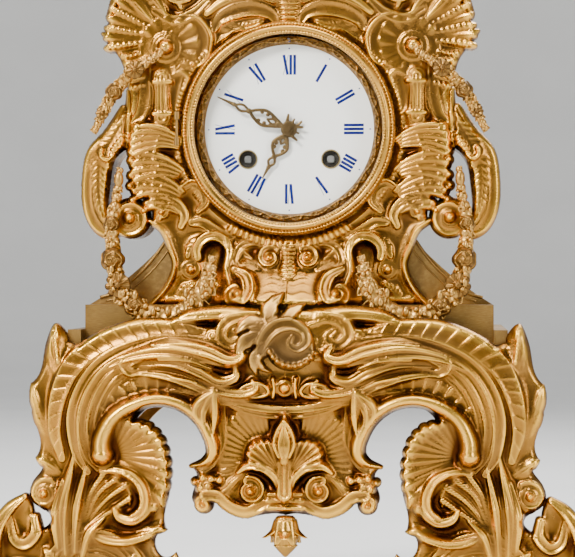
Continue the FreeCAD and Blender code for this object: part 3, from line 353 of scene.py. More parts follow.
def relief_mesh(name, relief, ground, back, material, part=None):
    """The field as a closed plate facing -y: its front lies at -(ground + height), its rear at -back.

    back is a number or a function of x and z. part, where given, is (low x, high x): only that strip
    becomes a mesh."""
    step = relief.step
    h, depth, X, Z = relief.h, relief.depth, relief.X.copy(), relief.Z.copy()
    cell = (depth[:-1, :-1] + depth[1:, :-1] + depth[:-1, 1:] + depth[1:, 1:]) / 4 > 0
    if part:
        middle = (X[:-1, :-1] + X[1:, 1:]) / 2
        cell &= (middle > part[0]) & (middle < part[1])
    touching = np.zeros(X.shape, int)
    for dj in (0, 1):
        for di in (0, 1):
            touching[dj:dj + cell.shape[0], di:di + cell.shape[1]] += cell
    used = touching > 0
    gz, gx = np.gradient(depth, step)
    norm = np.hypot(gx, gz) + 1e-6
    edge = used & (np.abs(depth) < 0.9 * step) & (touching < 4)
    shift = np.clip(depth, -0.7 * step, 0.7 * step)
    X[edge] -= (shift * gx / norm)[edge]
    Z[edge] -= (shift * gz / norm)[edge]
    Y = ground + h
    floor = back(X, Z) if callable(back) else np.full(X.shape, back)
    number = -np.ones(X.shape, int)
    number[used] = np.arange(used.sum())
    total = int(used.sum())
    # cavity: height above the blurred surroundings; the gilding paints highlights on ridges and shade in
    # recesses from it
    cavity = h - blurred(h, int(2.4 / step))
    front = np.column_stack([X[used], -Y[used], Z[used]])
    rear = np.column_stack([X[used], -floor[used], Z[used]])
    j, i = np.nonzero(cell)
    quad = np.column_stack([number[j, i], number[j, i + 1], number[j + 1, i + 1], number[j + 1, i]])
    # the wall: cell edges with nothing on their other side
    walls = []
    padded = np.pad(cell, 1)
    for dj, di, a, b in ((-1, 0, (0, 0), (0, 1)), (1, 0, (1, 1), (1, 0)), (0, -1, (1, 0), (0, 0)),
                         (0, 1, (0, 1), (1, 1))):
        free = cell & ~padded[1 + dj:1 + dj + cell.shape[0], 1 + di:1 + di + cell.shape[1]]
        jj, ii = np.nonzero(free)
        p, q = number[jj + a[0], ii + a[1]], number[jj + b[0], ii + b[1]]
        walls.append(np.column_stack([q, p, p + total, q + total]))
    walls = np.vstack(walls)
    # the rear repeats the front's cells, turned round, which closes the plate
    back_quads = quad[:, ::-1] + total
    points = np.vstack([front, rear])
    faces = np.vstack([quad, walls, back_quads])
    obj = new_object(name, points, faces, material)
    # the cavity attribute carries that painted highlight and painted shade to the material
    shade = np.clip(cavity[used] / 1.6, -1, 1)
    values = np.concatenate([shade, np.zeros(total)]).astype(np.float32)
    layer = obj.data.attributes.new("cavity", "FLOAT", "POINT")
    layer.data.foreach_set("value", values)
    flat = np.ones(len(faces), bool)
    flat[len(quad):] = False
    obj.data.polygons.foreach_set("use_smooth", flat)
    return obj


def outline_loops(node, plane):
    """The closed outlines (x, z), in millimetres, of a CAD node's flat face at y = plane."""
    mesh = nodes[node].data
    points = np.array([v.co for v in mesh.vertices]) / MM
    keys = [(round(x, 2), round(z, 2)) for x, y, z in points]
    on = np.abs(points[:, 1] - plane) < 0.02
    ahead = {}
    seen = {}
    for face in mesh.polygons:
        ids = list(face.vertices)
        if not all(on[i] for i in ids):
            continue
        for a, b in zip(ids, ids[1:] + ids[:1]):
            edge = (keys[a], keys[b])
            if edge[0] != edge[1]:
                seen[edge] = True
    for a, b in seen:
        if (b, a) not in seen:
            ahead[a] = b
    loops = []
    while ahead:
        start = next(iter(ahead))
        loop, here = [], start
        while here in ahead:
            loop.append(here)
            here = ahead.pop(here)
        if len(loop) > 2:
            loops.append(np.array(loop))
    return loops


def step_smooth(v, low, high):
    t = np.clip((v - low) / (high - low), 0, 1)
    return t * t * (3 - 2 * t)


# ---------------------------------------------------------------- materials
def shader(name, build):
    material = bpy.data.materials.new(name)
    material.use_nodes = True
    tree = material.node_tree
    build(tree.nodes, tree.links, tree.nodes["Principled BSDF"])
    return material


def mixed(tree_nodes, links, factor, low, high):
    mix = tree_nodes.new("ShaderNodeMix")
    mix.data_type = "RGBA"
    links.new(factor, mix.inputs[0])
    for socket, value in ((mix.inputs[6], low), (mix.inputs[7], high)):
        if isinstance(value, tuple):
            socket.default_value = (*value, 1)
        else:
            links.new(value, socket)
    return mix.outputs[2]


def noise(tree_nodes, links, scale, detail=4.0, roughness=0.5, low=0.35, high=0.65):
    """Noise in object space, stretched so that low and high become 0 and 1."""
    where = tree_nodes.new("ShaderNodeTexCoord")
    made = tree_nodes.new("ShaderNodeTexNoise")
    made.inputs["Scale"].default_value = scale
    made.inputs["Detail"].default_value = detail
    made.inputs["Roughness"].default_value = roughness
    links.new(where.outputs["Object"], made.inputs["Vector"])
    return ranged(tree_nodes, links, made.outputs["Fac"], low, high, 0, 1)


def ranged(tree_nodes, links, value, low, high, new_low, new_high):
    span = tree_nodes.new("ShaderNodeMapRange")
    span.inputs["From Min"].default_value = low
    span.inputs["From Max"].default_value = high
    span.inputs["To Min"].default_value = new_low
    span.inputs["To Max"].default_value = new_high
    links.new(value, span.inputs["Value"])
    return span.outputs[0]


def bumped(tree_nodes, links, bsdf, height, strength, distance):
    bump = tree_nodes.new("ShaderNodeBump")
    bump.inputs["Strength"].default_value = strength
    bump.inputs["Distance"].default_value = distance
    links.new(height, bump.inputs["Height"])
    links.new(bump.outputs[0], bsdf.inputs["Normal"])


def gilding(name, highlight_and_light_tone, body, shade_and_dark_tone, rough=(0.24, 0.44), carved=True, grain=0.25, worn=(0.42, 0.35, 0.24),
            wear=0.35):
    """Fire-gilt bronze: a warm body and dull worn patches, with a painted highlight on ridges and painted
    shade in recesses.

    The painted highlight and shade follow the relief's own cavity values where carved is true and how sharply
    the surface bends where it is false; where it is None, soft clouds lay the same two colours on as random
    light and dark tone."""
    def build(n, l, bsdf):
        # high marks where the painted highlight goes and deep where the painted shade goes; in the cloud
        # branch both are random tone
        if carved is None:
            source = n.new("ShaderNodeTexNoise")
            source.inputs["Scale"].default_value = 70
            high = ranged(n, l, source.outputs["Fac"], 0.50, 0.75, 0, 0.5)
            deep = ranged(n, l, source.outputs["Fac"], 0.48, 0.30, 0, 0.25)
        elif carved:
            source = n.new("ShaderNodeAttribute")
            source.attribute_name = "cavity"
            high = ranged(n, l, source.outputs["Fac"], 0.10, 0.80, 0, 1)
            deep = ranged(n, l, source.outputs["Fac"], -0.06, -0.7, 0, 1)
        else:
            source = n.new("ShaderNodeNewGeometry")
            high = ranged(n, l, source.outputs["Pointiness"], 0.51, 0.60, 0, 1)
            deep = ranged(n, l, source.outputs["Pointiness"], 0.49, 0.42, 0, 1)
        patch = noise(n, l, 28, 3, 0.55, 0.40, 0.68)
        fine = noise(n, l, 420, 5, 0.6, 0.3, 0.7)
        tone = mixed(n, l, fine, tuple(c * 0.90 for c in body), body)
        scaled = ranged(n, l, patch, 0, 1, 0, wear)
        tone = mixed(n, l, scaled, tone, worn)
        # painted highlight on the ridges, then painted shade in the recesses
        tone = mixed(n, l, high, tone, highlight_and_light_tone)
        tone = mixed(n, l, deep, tone, shade_and_dark_tone)
        l.new(tone, bsdf.inputs["Base Color"])
        bsdf.inputs["Metallic"].default_value = 1.0
        rough_patch = noise(n, l, 55, 4, 0.6, 0.3, 0.7)
        l.new(ranged(n, l, rough_patch, 0, 1, *rough), bsdf.inputs["Roughness"])
        bumped(n, l, bsdf, noise(n, l, 900, 6, 0.65, 0.2, 0.8), grain, 0.0002)
    return shader(name, build)


def plain_metal(name, colour, rough, streak=0.0, tint=None):
    def build(n, l, bsdf):
        marks = noise(n, l, 160, 5, 0.6, 0.3, 0.7)
        l.new(mixed(n, l, marks, tuple(c * 0.82 for c in colour), tint or colour), bsdf.inputs["Base Color"])
        bsdf.inputs["Metallic"].default_value = 1.0
        l.new(ranged(n, l, noise(n, l, 60, 4, 0.6), 0, 1, rough * 0.8, rough * 1.25),
              bsdf.inputs["Roughness"])
        bumped(n, l, bsdf, noise(n, l, 1500, 3, 0.5), 0.10 + streak, 0.0001)
    return shader(name, build)


def enamel(n, l, bsdf):
    cloud = noise(n, l, 30, 3, 0.5, 0.3, 0.7)
    l.new(mixed(n, l, cloud, (0.955, 0.955, 0.94), (0.975, 0.975, 0.96)), bsdf.inputs["Base Color"])
    l.new(ranged(n, l, cloud, 0, 1, 0.16, 0.22), bsdf.inputs["Roughness"])
    bsdf.inputs["Coat Weight"].default_value = 0.3


def blue_paint(n, l, bsdf):
    l.new(mixed(n, l, noise(n, l, 300, 3), (0.003, 0.008, 0.11), (0.006, 0.018, 0.20)),
          bsdf.inputs["Base Color"])
    bsdf.inputs["Roughness"].default_value = 0.25


def painted_hole_shade(n, l, bsdf):
    # painted shade: a near-black colour for the shaded depth of the winding holes
    l.new(mixed(n, l, noise(n, l, 200), (0.004, 0.003, 0.002), (0.010, 0.008, 0.006)),
          bsdf.inputs["Base Color"])
    bsdf.inputs["Roughness"].default_value = 0.7


def clear_glass(n, l, bsdf):
    """Thin glass: what lies behind it shows unbent, with a faint reflection on top."""
    clear = n.new("ShaderNodeBsdfTransparent")
    clear.inputs[0].default_value = (0.985, 0.99, 0.985, 1)
    gloss = n.new("ShaderNodeBsdfGlossy")
    gloss.inputs["Roughness"].default_value = 0.03
    rim = n.new("ShaderNodeFresnel")
    rim.inputs[0].default_value = 1.12
    both = n.new("ShaderNodeMixShader")
    l.new(rim.outputs[0], both.inputs[0])
    l.new(clear.outputs[0], both.inputs[1])
    l.new(gloss.outputs[0], both.inputs[2])
    l.new(both.outputs[0], n["Material Output"].inputs["Surface"])


# Each gilding gives its painted highlight colour, its body colour and its painted shade colour; in GILT_PLAIN
# and SATIN the first and last are random light and dark tone instead
GILT = gilding("gilt bronze", (0.88, 0.485, 0.062), (0.385, 0.175, 0.026), (0.050, 0.014, 0.0025),
               worn=(0.185, 0.102, 0.033),
               wear=0.55, rough=(0.20, 0.36))
GILT_DARK = gilding("gilt bronze, worn", (0.62, 0.36, 0.090), (0.26, 0.132, 0.032), (0.050, 0.018, 0.004),
                    carved=False,
                    worn=(0.155, 0.092, 0.036), wear=0.6, rough=(0.30, 0.46))
GILT_DARK_CARVED = gilding("gilt bronze, brown", (0.56, 0.31, 0.070), (0.20, 0.098, 0.022),
                           (0.045, 0.015, 0.003),
                           worn=(0.15, 0.09, 0.036), wear=0.6, rough=(0.26, 0.40))
GILT_RING = gilding("gilt bronze, bright", (0.92, 0.54, 0.085), (0.56, 0.29, 0.046), (0.10, 0.035, 0.007),
                    carved=False,
                    worn=(0.40, 0.235, 0.08), rough=(0.20, 0.32), grain=0.08, wear=0.3)
GILT_PLAIN = gilding("gilt bronze, plain", (0.80, 0.50, 0.16), (0.48, 0.27, 0.065), (0.20, 0.09, 0.02),
                     carved=None,
                     worn=(0.30, 0.19, 0.08), rough=(0.28, 0.44), grain=0.12, wear=0.5)
SATIN = gilding("satin gilding", (0.50, 0.32, 0.105), (0.33, 0.190, 0.054), (0.16, 0.085, 0.025), carved=None,
                worn=(0.20, 0.125, 0.05), wear=0.7, rough=(0.30, 0.48), grain=0.15)
BRASS = plain_metal("polished brass", (0.86, 0.64, 0.30), 0.20)
BELL = plain_metal("bell bronze", (0.74, 0.64, 0.44), 0.16)
STEEL = plain_metal("bright steel", (0.56, 0.55, 0.53), 0.26)
BLUED = plain_metal("blued steel", (0.07, 0.10, 0.24), 0.28, tint=(0.12, 0.10, 0.22))
HANDS = gilding("hand bronze", (0.34, 0.23, 0.105), (0.15, 0.094, 0.040), (0.03, 0.018, 0.008),
                worn=(0.12, 0.10, 0.06),
                rough=(0.30, 0.46), grain=0.12)
ENAMEL = shader("white enamel", enamel)
BLUE = shader("blue numerals", blue_paint)
GLASS = shader("domed glass", clear_glass)
# SHADE is painted shade for the depth of the winding holes
SHADE = shader("painted shade in the winding holes", painted_hole_shade)


# ---------------------------------------------------------------- the upper front casting
def upper_edges(r):
    """The border round the bezel: notched at the sides, plain lines elsewhere and a ribbed collar below."""
    notch_radius, line_radius, collar_radius = 60.6, 60.4, 61.2
    ring = np.hypot(r.X, r.Z - DIAL_Z)
    turn = np.degrees(np.arctan2(r.Z - DIAL_Z, -r.X))
    everywhere = (slice(None), slice(None))
    rib = np.abs(np.sin(radians(1) * turn * 82))
    notched = root(1 - ((ring - notch_radius) / 2.2) ** 2) * (0.55 + 0.45 * rib)
    r.put(everywhere, 4.6 * notched, (np.abs(ring - notch_radius) < 2.2) & (np.abs(turn) < 44))
    lines = root(1 - ((ring - line_radius) / 2.0) ** 2) * (0.8 + 0.2 * np.cos((ring - line_radius) * 4.2))
    r.put(everywhere, 4.0 * lines, (np.abs(ring - line_radius) < 2.0) & (np.abs(turn) >= 44))
    ribs = np.abs(np.sin(radians(1) * turn * 62)) ** 0.8
    collar = root(1 - ((ring - collar_radius) / 3.4) ** 4) * (0.5 + 0.5 * ribs)
    r.put(everywhere, 6.4 * collar, (np.abs(ring - collar_radius) < 3.4) & (turn < -58))
    r.h *= step_smooth(ring, 57.5, 59.0)


def upper_crest(r):
    """The shell and scrolls over the dial."""
    r.fan((0, 343), 9, 54, 18, 162, 13, 7.0, level=1.0, scallop=0.05, beads=3.0)
    r.stroke([(-9, 344), (-16, 352), (-30, 361), (-46, 366), (-60, 362), (-67, 352), (-62, 343), (-54, 343),
              (-52, 349)],
             [2.6, 3.6, 4.2, 4.4, 4.4, 4.0, 3.2, 2.4, 1.6], [5, 7, 8, 8, 8, 8, 7, 6, 6], gutter, 1.5)
    r.stroke([(-97, 333), (-92, 345), (-83, 358), (-71, 368), (-58, 375), (-44, 377)],
             [2.4, 3.4, 3.8, 3.8, 3.2, 2.0],
             [5, 6, 7, 7, 6, 5], gutter, 1.0, proud=True)
    for k, x in enumerate((-86, -78, -70)):
        r.stroke([(x, 345 + 5 * k), (x + 7, 337 + 5 * k), (x + 12, 331 + 3 * k)], [3.2, 2.8, 1.2], 4.5,
                 reeded(3), 1.0)
    r.stroke([(0, 322), (0, 333), (0, 345)], [6.6, 5.8, 8.0], 6.4, ribbed(2.6, 0.35), 0.8)
    r.stroke([(-5.5, 328), (-10, 334), (-19, 336.5), (-29, 335), (-37, 331), (-40, 326)],
             [2.2, 3.4, 4.4, 4.4, 3.4, 2.0],
             [6, 6, 6, 6, 6, 5], gutter, 0.8)
    r.stroke([(-8, 341), (-16, 344), (-26, 344), (-36, 340), (-44, 334)], [2.6, 3.2, 3.4, 3.0, 2.0], 5.0,
             reeded(3), 1.2)
    r.leaf([(-40, 331), (-32, 327), (-22, 327), (-13, 330)], 4.2, 4.4, lobes=4, level=0.6)
    r.boss((0, 352), 6.5, 6.5, 2.0)
    r.boss((0, 352), 3.2, 4.0, 7.0)
    r.leaf([(0, 358), (0, 372), (0, 388), (0, 401)], 8.5, 6.0, lobes=5, level=3.0)


def upper_corner(r):
    """The corner shells and the roundels that carry the upper garlands."""
    hub = (-66.3, 316.0)
    r.fan((-63, 321), 15, 38, 98, 192, 11, 6.8, level=0.8, scallop=0.10, beads=3.0, proud=True)
    r.leaf([(-88, 318), (-94, 321), (-102, 324.5)], 4.0, 5.5, lobes=2, level=1.2, proud=True)
    for k in range(5):
        z = 311.5 - 4.1 * k
        r.stroke([(-94 + 1.1 * k, z + 0.6), (-87 + 0.8 * k, z), (-80 + 0.6 * k, z + 1.4)], [2.0, 2.0, 1.3],
                 [4.6, 4.8, 3.4],
                 beaded(2.6) if k % 2 == 0 else dome, 1.0)
    r.fan(hub, 8, [14, 15, 18, 20, 17, 15], -130, 150, 11, 3.8, level=0.8, scallop=0.04, dish=0.5, floor=0.6)
    r.stroke(arc(hub, 11.4, 130, 250), [2.0, 3.2, 2.0], 3.8, gutter, 0.8)
    r.boss(hub, 8.6, 4.6, 1.4, cup(0.45, 2.2))
    r.boss(hub, 4.4, 7.4, 2.0, lambda k: root(1 - k ** 2.6))
    r.stroke([(-57, 333), (-49, 329), (-44.5, 321), (-46, 311), (-52, 305)], [2.2, 4.2, 5.0, 4.0, 1.6],
             [4, 5.5, 6, 5.5, 4],
             lip, 0.8)
    r.volute((-51.5, 306.5), 4.2, 70, 1.2, 1.5, 4.6, 1.0)
    r.stroke([(-64, 300), (-58, 303), (-54, 300), (-55.5, 295)], [1.6, 2.0, 1.8, 1.2], 3.8, dome, 1.0)
    r.stroke([(-72, 336), (-62, 331), (-52, 334), (-44, 341)], [1.8, 2.6, 2.6, 1.6], 5.0, gutter, 1.2)


def upper_sides(r):
    """Between the roundels and the waist: a small vase, then ribbed and beaded shells one above another."""
    r.stroke([(-68.5, 300), (-68.4, 292), (-68.2, 285), (-68, 278.5)], [5.6, 4.4, 4.8, 5.6], 6.0, reeded(5),
             0.8)
    for z, w in ((297.4, 4.6), (280.4, 4.8)):
        r.stroke([(-68 - w, z), (-68 + w, z)], 1.3, 1.8, dome, 5.2)
    r.boss((-68, 276.6), 5.2, 3.6, 2.2, cup(0.35, 2))
    r.stroke([(-57.5, 305), (-60.4, 296), (-62.4, 286), (-63.2, 277)], [2.2, 3.0, 3.0, 2.0], 4.4, gutter, 0.8)
    r.stroke([(-77, 309), (-77.6, 300), (-77.4, 290), (-79.5, 281), (-84, 275)], [2.6, 3.4, 3.6, 3.2, 2.0],
             4.8, gutter, 0.8)
    r.stroke([(-86.4, 297), (-83.6, 290), (-84.6, 282)], [1.4, 2.2, 1.2], 3.0, dome, 0.8)
    shells = ((-52.5, 219.5, 30, 128, 166, 4, 5.2), (-51.5, 229.0, 36, 140, 176, 4, 5.8),
              (-50.5, 241.5, 38, 148, 184, 4, 6.3), (-50.0, 257.0, 38.0, 150, 186, 5, 6.8))
    for cx, cz, reach, start, end, ribs, height in shells:
        r.fan((cx, cz), 10, [reach - 3, reach, reach - 1, reach - 3], start, end, ribs, height, level=1.0,
              scallop=0.05,
              dish=0.35, proud=True, mode="over", floor=0.55, curve=40)
        for k in range(ribs):
            a = radians(start + (end - start) * (k + 0.5) / ribs)
            tip = (cx + (reach - 2.6) * cos(a), cz + (reach - 2.6) * sin(a))
            r.boss(tip, 3.0, 2.6, height * 0.66, proud=True)
        r.stroke(arc((cx, cz), reach * 0.80, start + 2, end - 2), 0.9, 1.8, beaded(2.7), height * 0.80)
        r.stroke(arc((cx, cz), reach * 0.58, start, end), 0.8, 1.2, dome, height * 0.84)


def upper_waist(r):
    """The concave flanks: rim, volutes, the little roundel and the mouths that the lower garlands leave."""
    r.stroke([(-75, 223), (-68, 217.5), (-63.4, 207), (-61.4, 200), (-62.8, 193), (-67, 185.5),
              (-73.5, 178.5)],
             [2.0, 2.3, 2.4, 2.4, 2.4, 2.3, 2.0], 5.2, dome, 0.6, proud=True)
    r.volute((-68.5, 227.5), 5.4, 200, -1.4, 2.0, 5.4, 1.2)
    r.stroke([(-79, 235), (-74, 231), (-67, 233.5), (-60, 232), (-56, 226), (-58, 220)],
             [1.6, 2.2, 2.6, 2.8, 2.6, 1.6],
             [4, 5, 6, 6, 6, 5], gutter, 1.4)
    r.stroke([(-58, 240), (-52, 243), (-46, 240), (-44.5, 233), (-49, 228)], [1.8, 2.8, 3.2, 2.8, 1.6],
             [5, 7, 7.5, 7, 5],
             lip, 1.4)
    r.stroke([(-52, 222), (-46, 222), (-38, 217), (-30, 214.5)], [2.0, 3.0, 3.2, 1.6], 5.0, gutter, 1.0)
    mouth = (-40.6, 206.0)
    r.boss(mouth, 7.6, 1.0, -2.6, lambda k: root(1 - k ** 6) * 0.3, mode="over")
    r.stroke([(-40.6, 206), (-40.2, 196)], [6.2, 4.4], 0.4, dome, -2.4, mode="over")
    r.stroke(arc(mouth, 8.8, -20, 200), [1.8, 2.6, 2.6, 1.8], 5.6, gutter, 1.6)
    r.leaf([(-49, 213.5), (-53, 208), (-55, 202)], 3.4, 4.0, lobes=3, level=1.0)
    r.boss((-52.8, 196.8), 5.4, 3.2, 1.2, cup(0.35, 3))
    r.boss((-52.8, 196.8), 2.4, 4.4, 1.6)
    r.leaf([(-59, 181), (-56, 186), (-50, 190)], 3.6, 4.0, lobes=3, level=0.8)
    r.stroke([(-65, 180), (-55, 179), (-46, 183), (-40, 189)], [2.0, 2.8, 2.8, 1.6], 4.6, gutter, 0.8)
    r.stroke([(-33.8, 214), (-32.4, 206), (-33.6, 197), (-31, 189)], [1.6, 2.0, 2.0, 1.2], 4.6, dome, 1.0)


def upper_middle(r):
    """Under the bezel: paired volutes, a ribbed tongue, C-scrolls and the rippled ground they stand on."""
    r.stroke([(0, 212), (0, 200), (0, 190), (0, 178)], [15, 17, 19, 22], 1.8, ribbed(3.4, 0.30), 0.6)
    r.stroke([(0, 209), (0, 202), (0, 196.5)], [4.6, 4.0, 5.0], 5.2, ribbed(2.2, 0.4), 1.2)
    r.volute((-10.2, 203.4), 7.0, 60, 1.5, 2.4, 9.0, 1.6)
    r.stroke([(-13, 209.5), (-19, 211.5), (-25.5, 209), (-28.4, 203), (-26.8, 197.2)],
             [1.5, 2.0, 2.2, 2.0, 1.2],
             [4, 5, 5.4, 5, 4], gutter, 1.2)
    for k in range(4):
        r.stroke([(-28 + 1.4 * k, 211 - 1.6 * k), (-23 + 1.2 * k, 206.5 - 1.2 * k)], [1.1, 0.8], 3.2, dome,
                 1.0)
    r.leaf([(-15.5, 197), (-20.5, 199.5), (-26, 197.5), (-29.5, 193)], 3.8, 4.4, lobes=4, level=1.0)
    sweep = [(-24.6, 184.6), (-27.8, 187.6), (-31.6, 184.2), (-29.6, 179.6), (-23.6, 180.2), (-20.4, 186),
             (-22.4, 193), (-29, 197)]
    r.stroke(sweep, [1.2, 1.7, 2.1, 2.4, 2.8, 3.2, 3.0, 1.6], [7, 8, 8.6, 9, 9.4, 9.4, 8.6, 6], gutter, 1.4)
    r.boss((-25.6, 184.4), 2.0, 4.4, 7.0)
    r.stroke([(-19.6, 195.4), (-16.6, 188), (-17.6, 180)], [0.8, 1.3, 0.8], 4.4, dome, 1.6)
    r.stroke([(-17.5, 180), (-22, 176.8), (-30, 177.6), (-38, 181)], [1.8, 2.4, 2.6, 1.6], 4.6, gutter, 0.8)
    for k in range(6):
        z = 197 - 4.4 * k
        r.stroke([(-13.5 - 0.4 * k, z - 1.6), (-8.4, z + 0.5), (-3.2, z - 0.9), (0, z)], [0.8, 1.5, 1.5, 1.6],
                 [1.6, 2.4, 2.4, 2.6],
                 dome, 0.8)


def upper_ground(full):
    """How far the casting's ground stands forward: it sweeps out at the bottom to meet the base."""
    sweep = 27 * np.clip((213 - full.Z) / 37, 0, 1) ** 1.7
    wings = 1 - step_smooth(np.abs(full.X), 26, 46)
    crown = 2.5 * step_smooth(full.Z, 320, 380)
    return 46.5 + sweep * wings + crown


# ---------------------------------------------------------------- the base casting
ARCH = (-63.5, 103.0)


def base_shoulder(r):
    """A hollow band over the shoulder, and bright fillets nested inside it that run down the leg."""
    crown = [(-42, 164.0), (-48, 166.0), (-58, 166.6), (-78, 165.4), (-97, 158.4), (-111, 147), (-119, 131),
             (-121.6, 113),
             (-118, 97)]
    r.stroke(crown, [0.8, 3.0, 4.4, 5.6, 6.0, 6.0, 5.0, 3.6, 2.0], [3, 5, 6, 7, 7.4, 7.4, 7, 6, 5], cove, 1.2,
             proud=True)
    nests = (([(-34, 158.6), (-56, 160.4), (-76, 157.6), (-94, 149.6), (-105.4, 137), (-111.4, 120),
               (-110, 101), (-104, 90)], 3.0, 8.6),
             ([(-58, 156.0), (-76, 152.0), (-92, 144.4), (-101.6, 132), (-106, 116), (-104.4, 100),
               (-99, 91.6)], 2.3, 8.0),
             ([(-74, 148.0), (-88, 142.4), (-97.4, 129.6), (-101.6, 115), (-99.6, 101), (-93.6, 94.4)], 1.9,
              7.2),
             ([(-80, 143.0), (-90, 135.6), (-96.6, 124.0), (-98.0, 111), (-94, 101.0)], 1.5, 6.2))
    for path, width, height in nests:
        r.stroke(path, [width * 0.5, width, width * 1.15, width * 1.15, width * 0.5],
                 [height * 0.7, height, height, height * 0.7],
                 gutter, 1.0)
    r.stroke([(-64, 150.6), (-75, 151.4), (-83.6, 147), (-80.4, 142.6), (-73, 144)],
             [1.8, 3.0, 3.4, 2.2, 1.4],
             [5, 8, 8.5, 7, 5], gutter, 1.8)
    r.leaf([(-117, 141), (-121.4, 152), (-121.8, 168)], 5.6, 5.0, lobes=3, veins=30, level=0.6, proud=True)
    r.stroke([(-119.5, 148), (-121.6, 163)], 1.0, 1.8, beaded(2.2), 4.8)
    r.leaf([(-126, 110), (-131.5, 124), (-134.6, 137)], 4.6, 4.0, lobes=2, veins=30, level=0.4, proud=True)
    r.leaf([(-120, 90), (-126, 94), (-132.6, 97.6)], 4.2, 4.6, lobes=2, veins=30, level=0.6, proud=True)


def base_arch(r):
    """The opening's heavy lip with its bulb on the leg, and the filleted awning above it."""
    r.fan(ARCH, 22, [33, 37, 40, 41, 40], 60, 172, 11, 5.6, level=0.4, scallop=0.0, dish=0.9, floor=0.45,
          mode="over",
          fillets=True)
    r.stroke([(-101.5, 126), (-104, 112), (-100, 100), (-90, 93.8), (-78, 93.6)], [4, 7, 7, 5, 2], 0.8, dome,
             -1.6, mode="over")
    r.stroke([(-103.4, 124), (-104.6, 112), (-100.4, 101), (-91, 95.6), (-80, 95.2)],
             [0.8, 1.2, 1.4, 1.4, 0.8], 3.4, dome, 0.6)
    edge = [(-96.0, 99.5), (-95.6, 108.0), (-90.6, 118.0), (-81, 125.2), (-68, 128.6), (-55.6, 126.4),
            (-45.6, 119.4),
            (-39.4, 109.5), (-38.0, 101.0), (-42.2, 95.6), (-50, 93.4)]
    r.stroke(edge, [5.8, 5.6, 5.0, 4.5, 4.3, 4.3, 4.5, 4.8, 4.4, 3.2, 1.2],
             [12.4, 11.4, 10.0, 9.0, 8.4, 8.4, 8.4, 8.8, 8.0, 6, 4], dome, 1.2, proud=True)
    r.boss((-96.0, 99.8), 6.4, 12.6, 1.2)
    r.stroke(arc((-96.0, 99.8), 7.0, 150, 330), 0.9, 3.0, dome, 3.0)
    r.stroke([(-32.8, 128), (-32.6, 117), (-33.2, 106), (-38.6, 94.6), (-46, 90.5)],
             [1.4, 1.8, 2.0, 2.0, 1.2], [5, 6, 6, 5.6, 4],
             gutter, 1.4)
    for tip, bend, w in (((-41.6, 113), (-42.4, 123), 3.6), ((-37.4, 110.6), (-36.6, 120), 2.8),
                         ((-46.2, 116.4), (-46, 126), 2.6)):
        r.stroke([(-37, 133), bend, tip], [2.6, w, 0.8], [5, 6.4, 4.6], plume, 5.0)


def base_leg(r):
    """The ruffled shell, the beaded C-scroll, ears of wheat and a bundle of leaves."""
    r.fan((-92, 99), 5, [38, 37.5, 34, 31.5, 30, 27.5, 23, 18], -56, 78, 12, 7.4, level=0.6, scallop=0.035,
          dish=0.75,
          proud=True, floor=0.35)
    r.stroke([(-84, 116.5), (-74, 112), (-66.6, 103), (-64.6, 92), (-65.6, 81), (-64, 73)],
             [1.2, 2.4, 2.6, 2.6, 2.6, 1.2], 1.5,
             ribbed(3.4, 0.5, 0.4), 5.4)
    r.stroke([(-97, 90.5), (-88.5, 91), (-79, 87.6), (-73.8, 80), (-73.6, 71.5), (-79.6, 65.6), (-87, 66.6),
              (-90, 71.4)],
             [1.6, 2.8, 3.6, 4.2, 4.2, 3.6, 2.8, 1.5], [5, 7, 8, 8.6, 8.6, 8, 7, 6], plume, 1.6)
    r.stroke([(-85, 90), (-78.6, 85.6), (-75.4, 78.6), (-76, 71.6), (-80.6, 67.6)], 1.0, 1.6, beaded(2.7),
             8.6)
    r.stroke([(-94.6, 85), (-86.6, 84.6), (-81.6, 79.4), (-81.8, 73)], [0.8, 1.4, 1.6, 0.8], 4.2, dome, 0.8)
    for tip, bend in (((-83.5, 83.5), (-95, 75)), ((-89, 87), (-99, 78)), ((-95.6, 89.5), (-103, 78)),
                      ((-82, 76.5), (-93, 69))):
        r.stroke([(-107, 60), bend, tip], [0.7, 1.4, 2.0], [3, 4, 5.4], ribbed(1.8, 0.35, 0.9), 1.2)
    leaves = (((-116, 47), (-116.6, 72), (-111.6, 99), 4.6), ((-111, 48), (-109.6, 72), (-105, 93.6), 3.6),
              ((-120, 50), (-121.6, 68), (-117.6, 86), 3.4), ((-107, 46), (-103, 58), (-95.6, 66), 3.0))
    for start, bend, tip, w in leaves:
        r.stroke([start, bend, tip], [1.8, w, 1.0], [5, 7.6, 5], plume, 1.2)
    r.stroke([(-64, 61), (-74, 56.6), (-85, 53.6), (-97, 55), (-108, 62)], [1.4, 3.0, 3.6, 3.2, 1.4],
             [4, 6, 6.8, 6, 4], plume, 1.0)
    r.leaf([(-79, 56), (-72, 59.5), (-62.5, 59.6)], 3.6, 4.6, lobes=2, veins=30, level=1.0, proud=True)
    r.volute((-127.2, 79.0), 8.6, 60, 1.7, 2.8, 6.6, 1.2, proud=True)


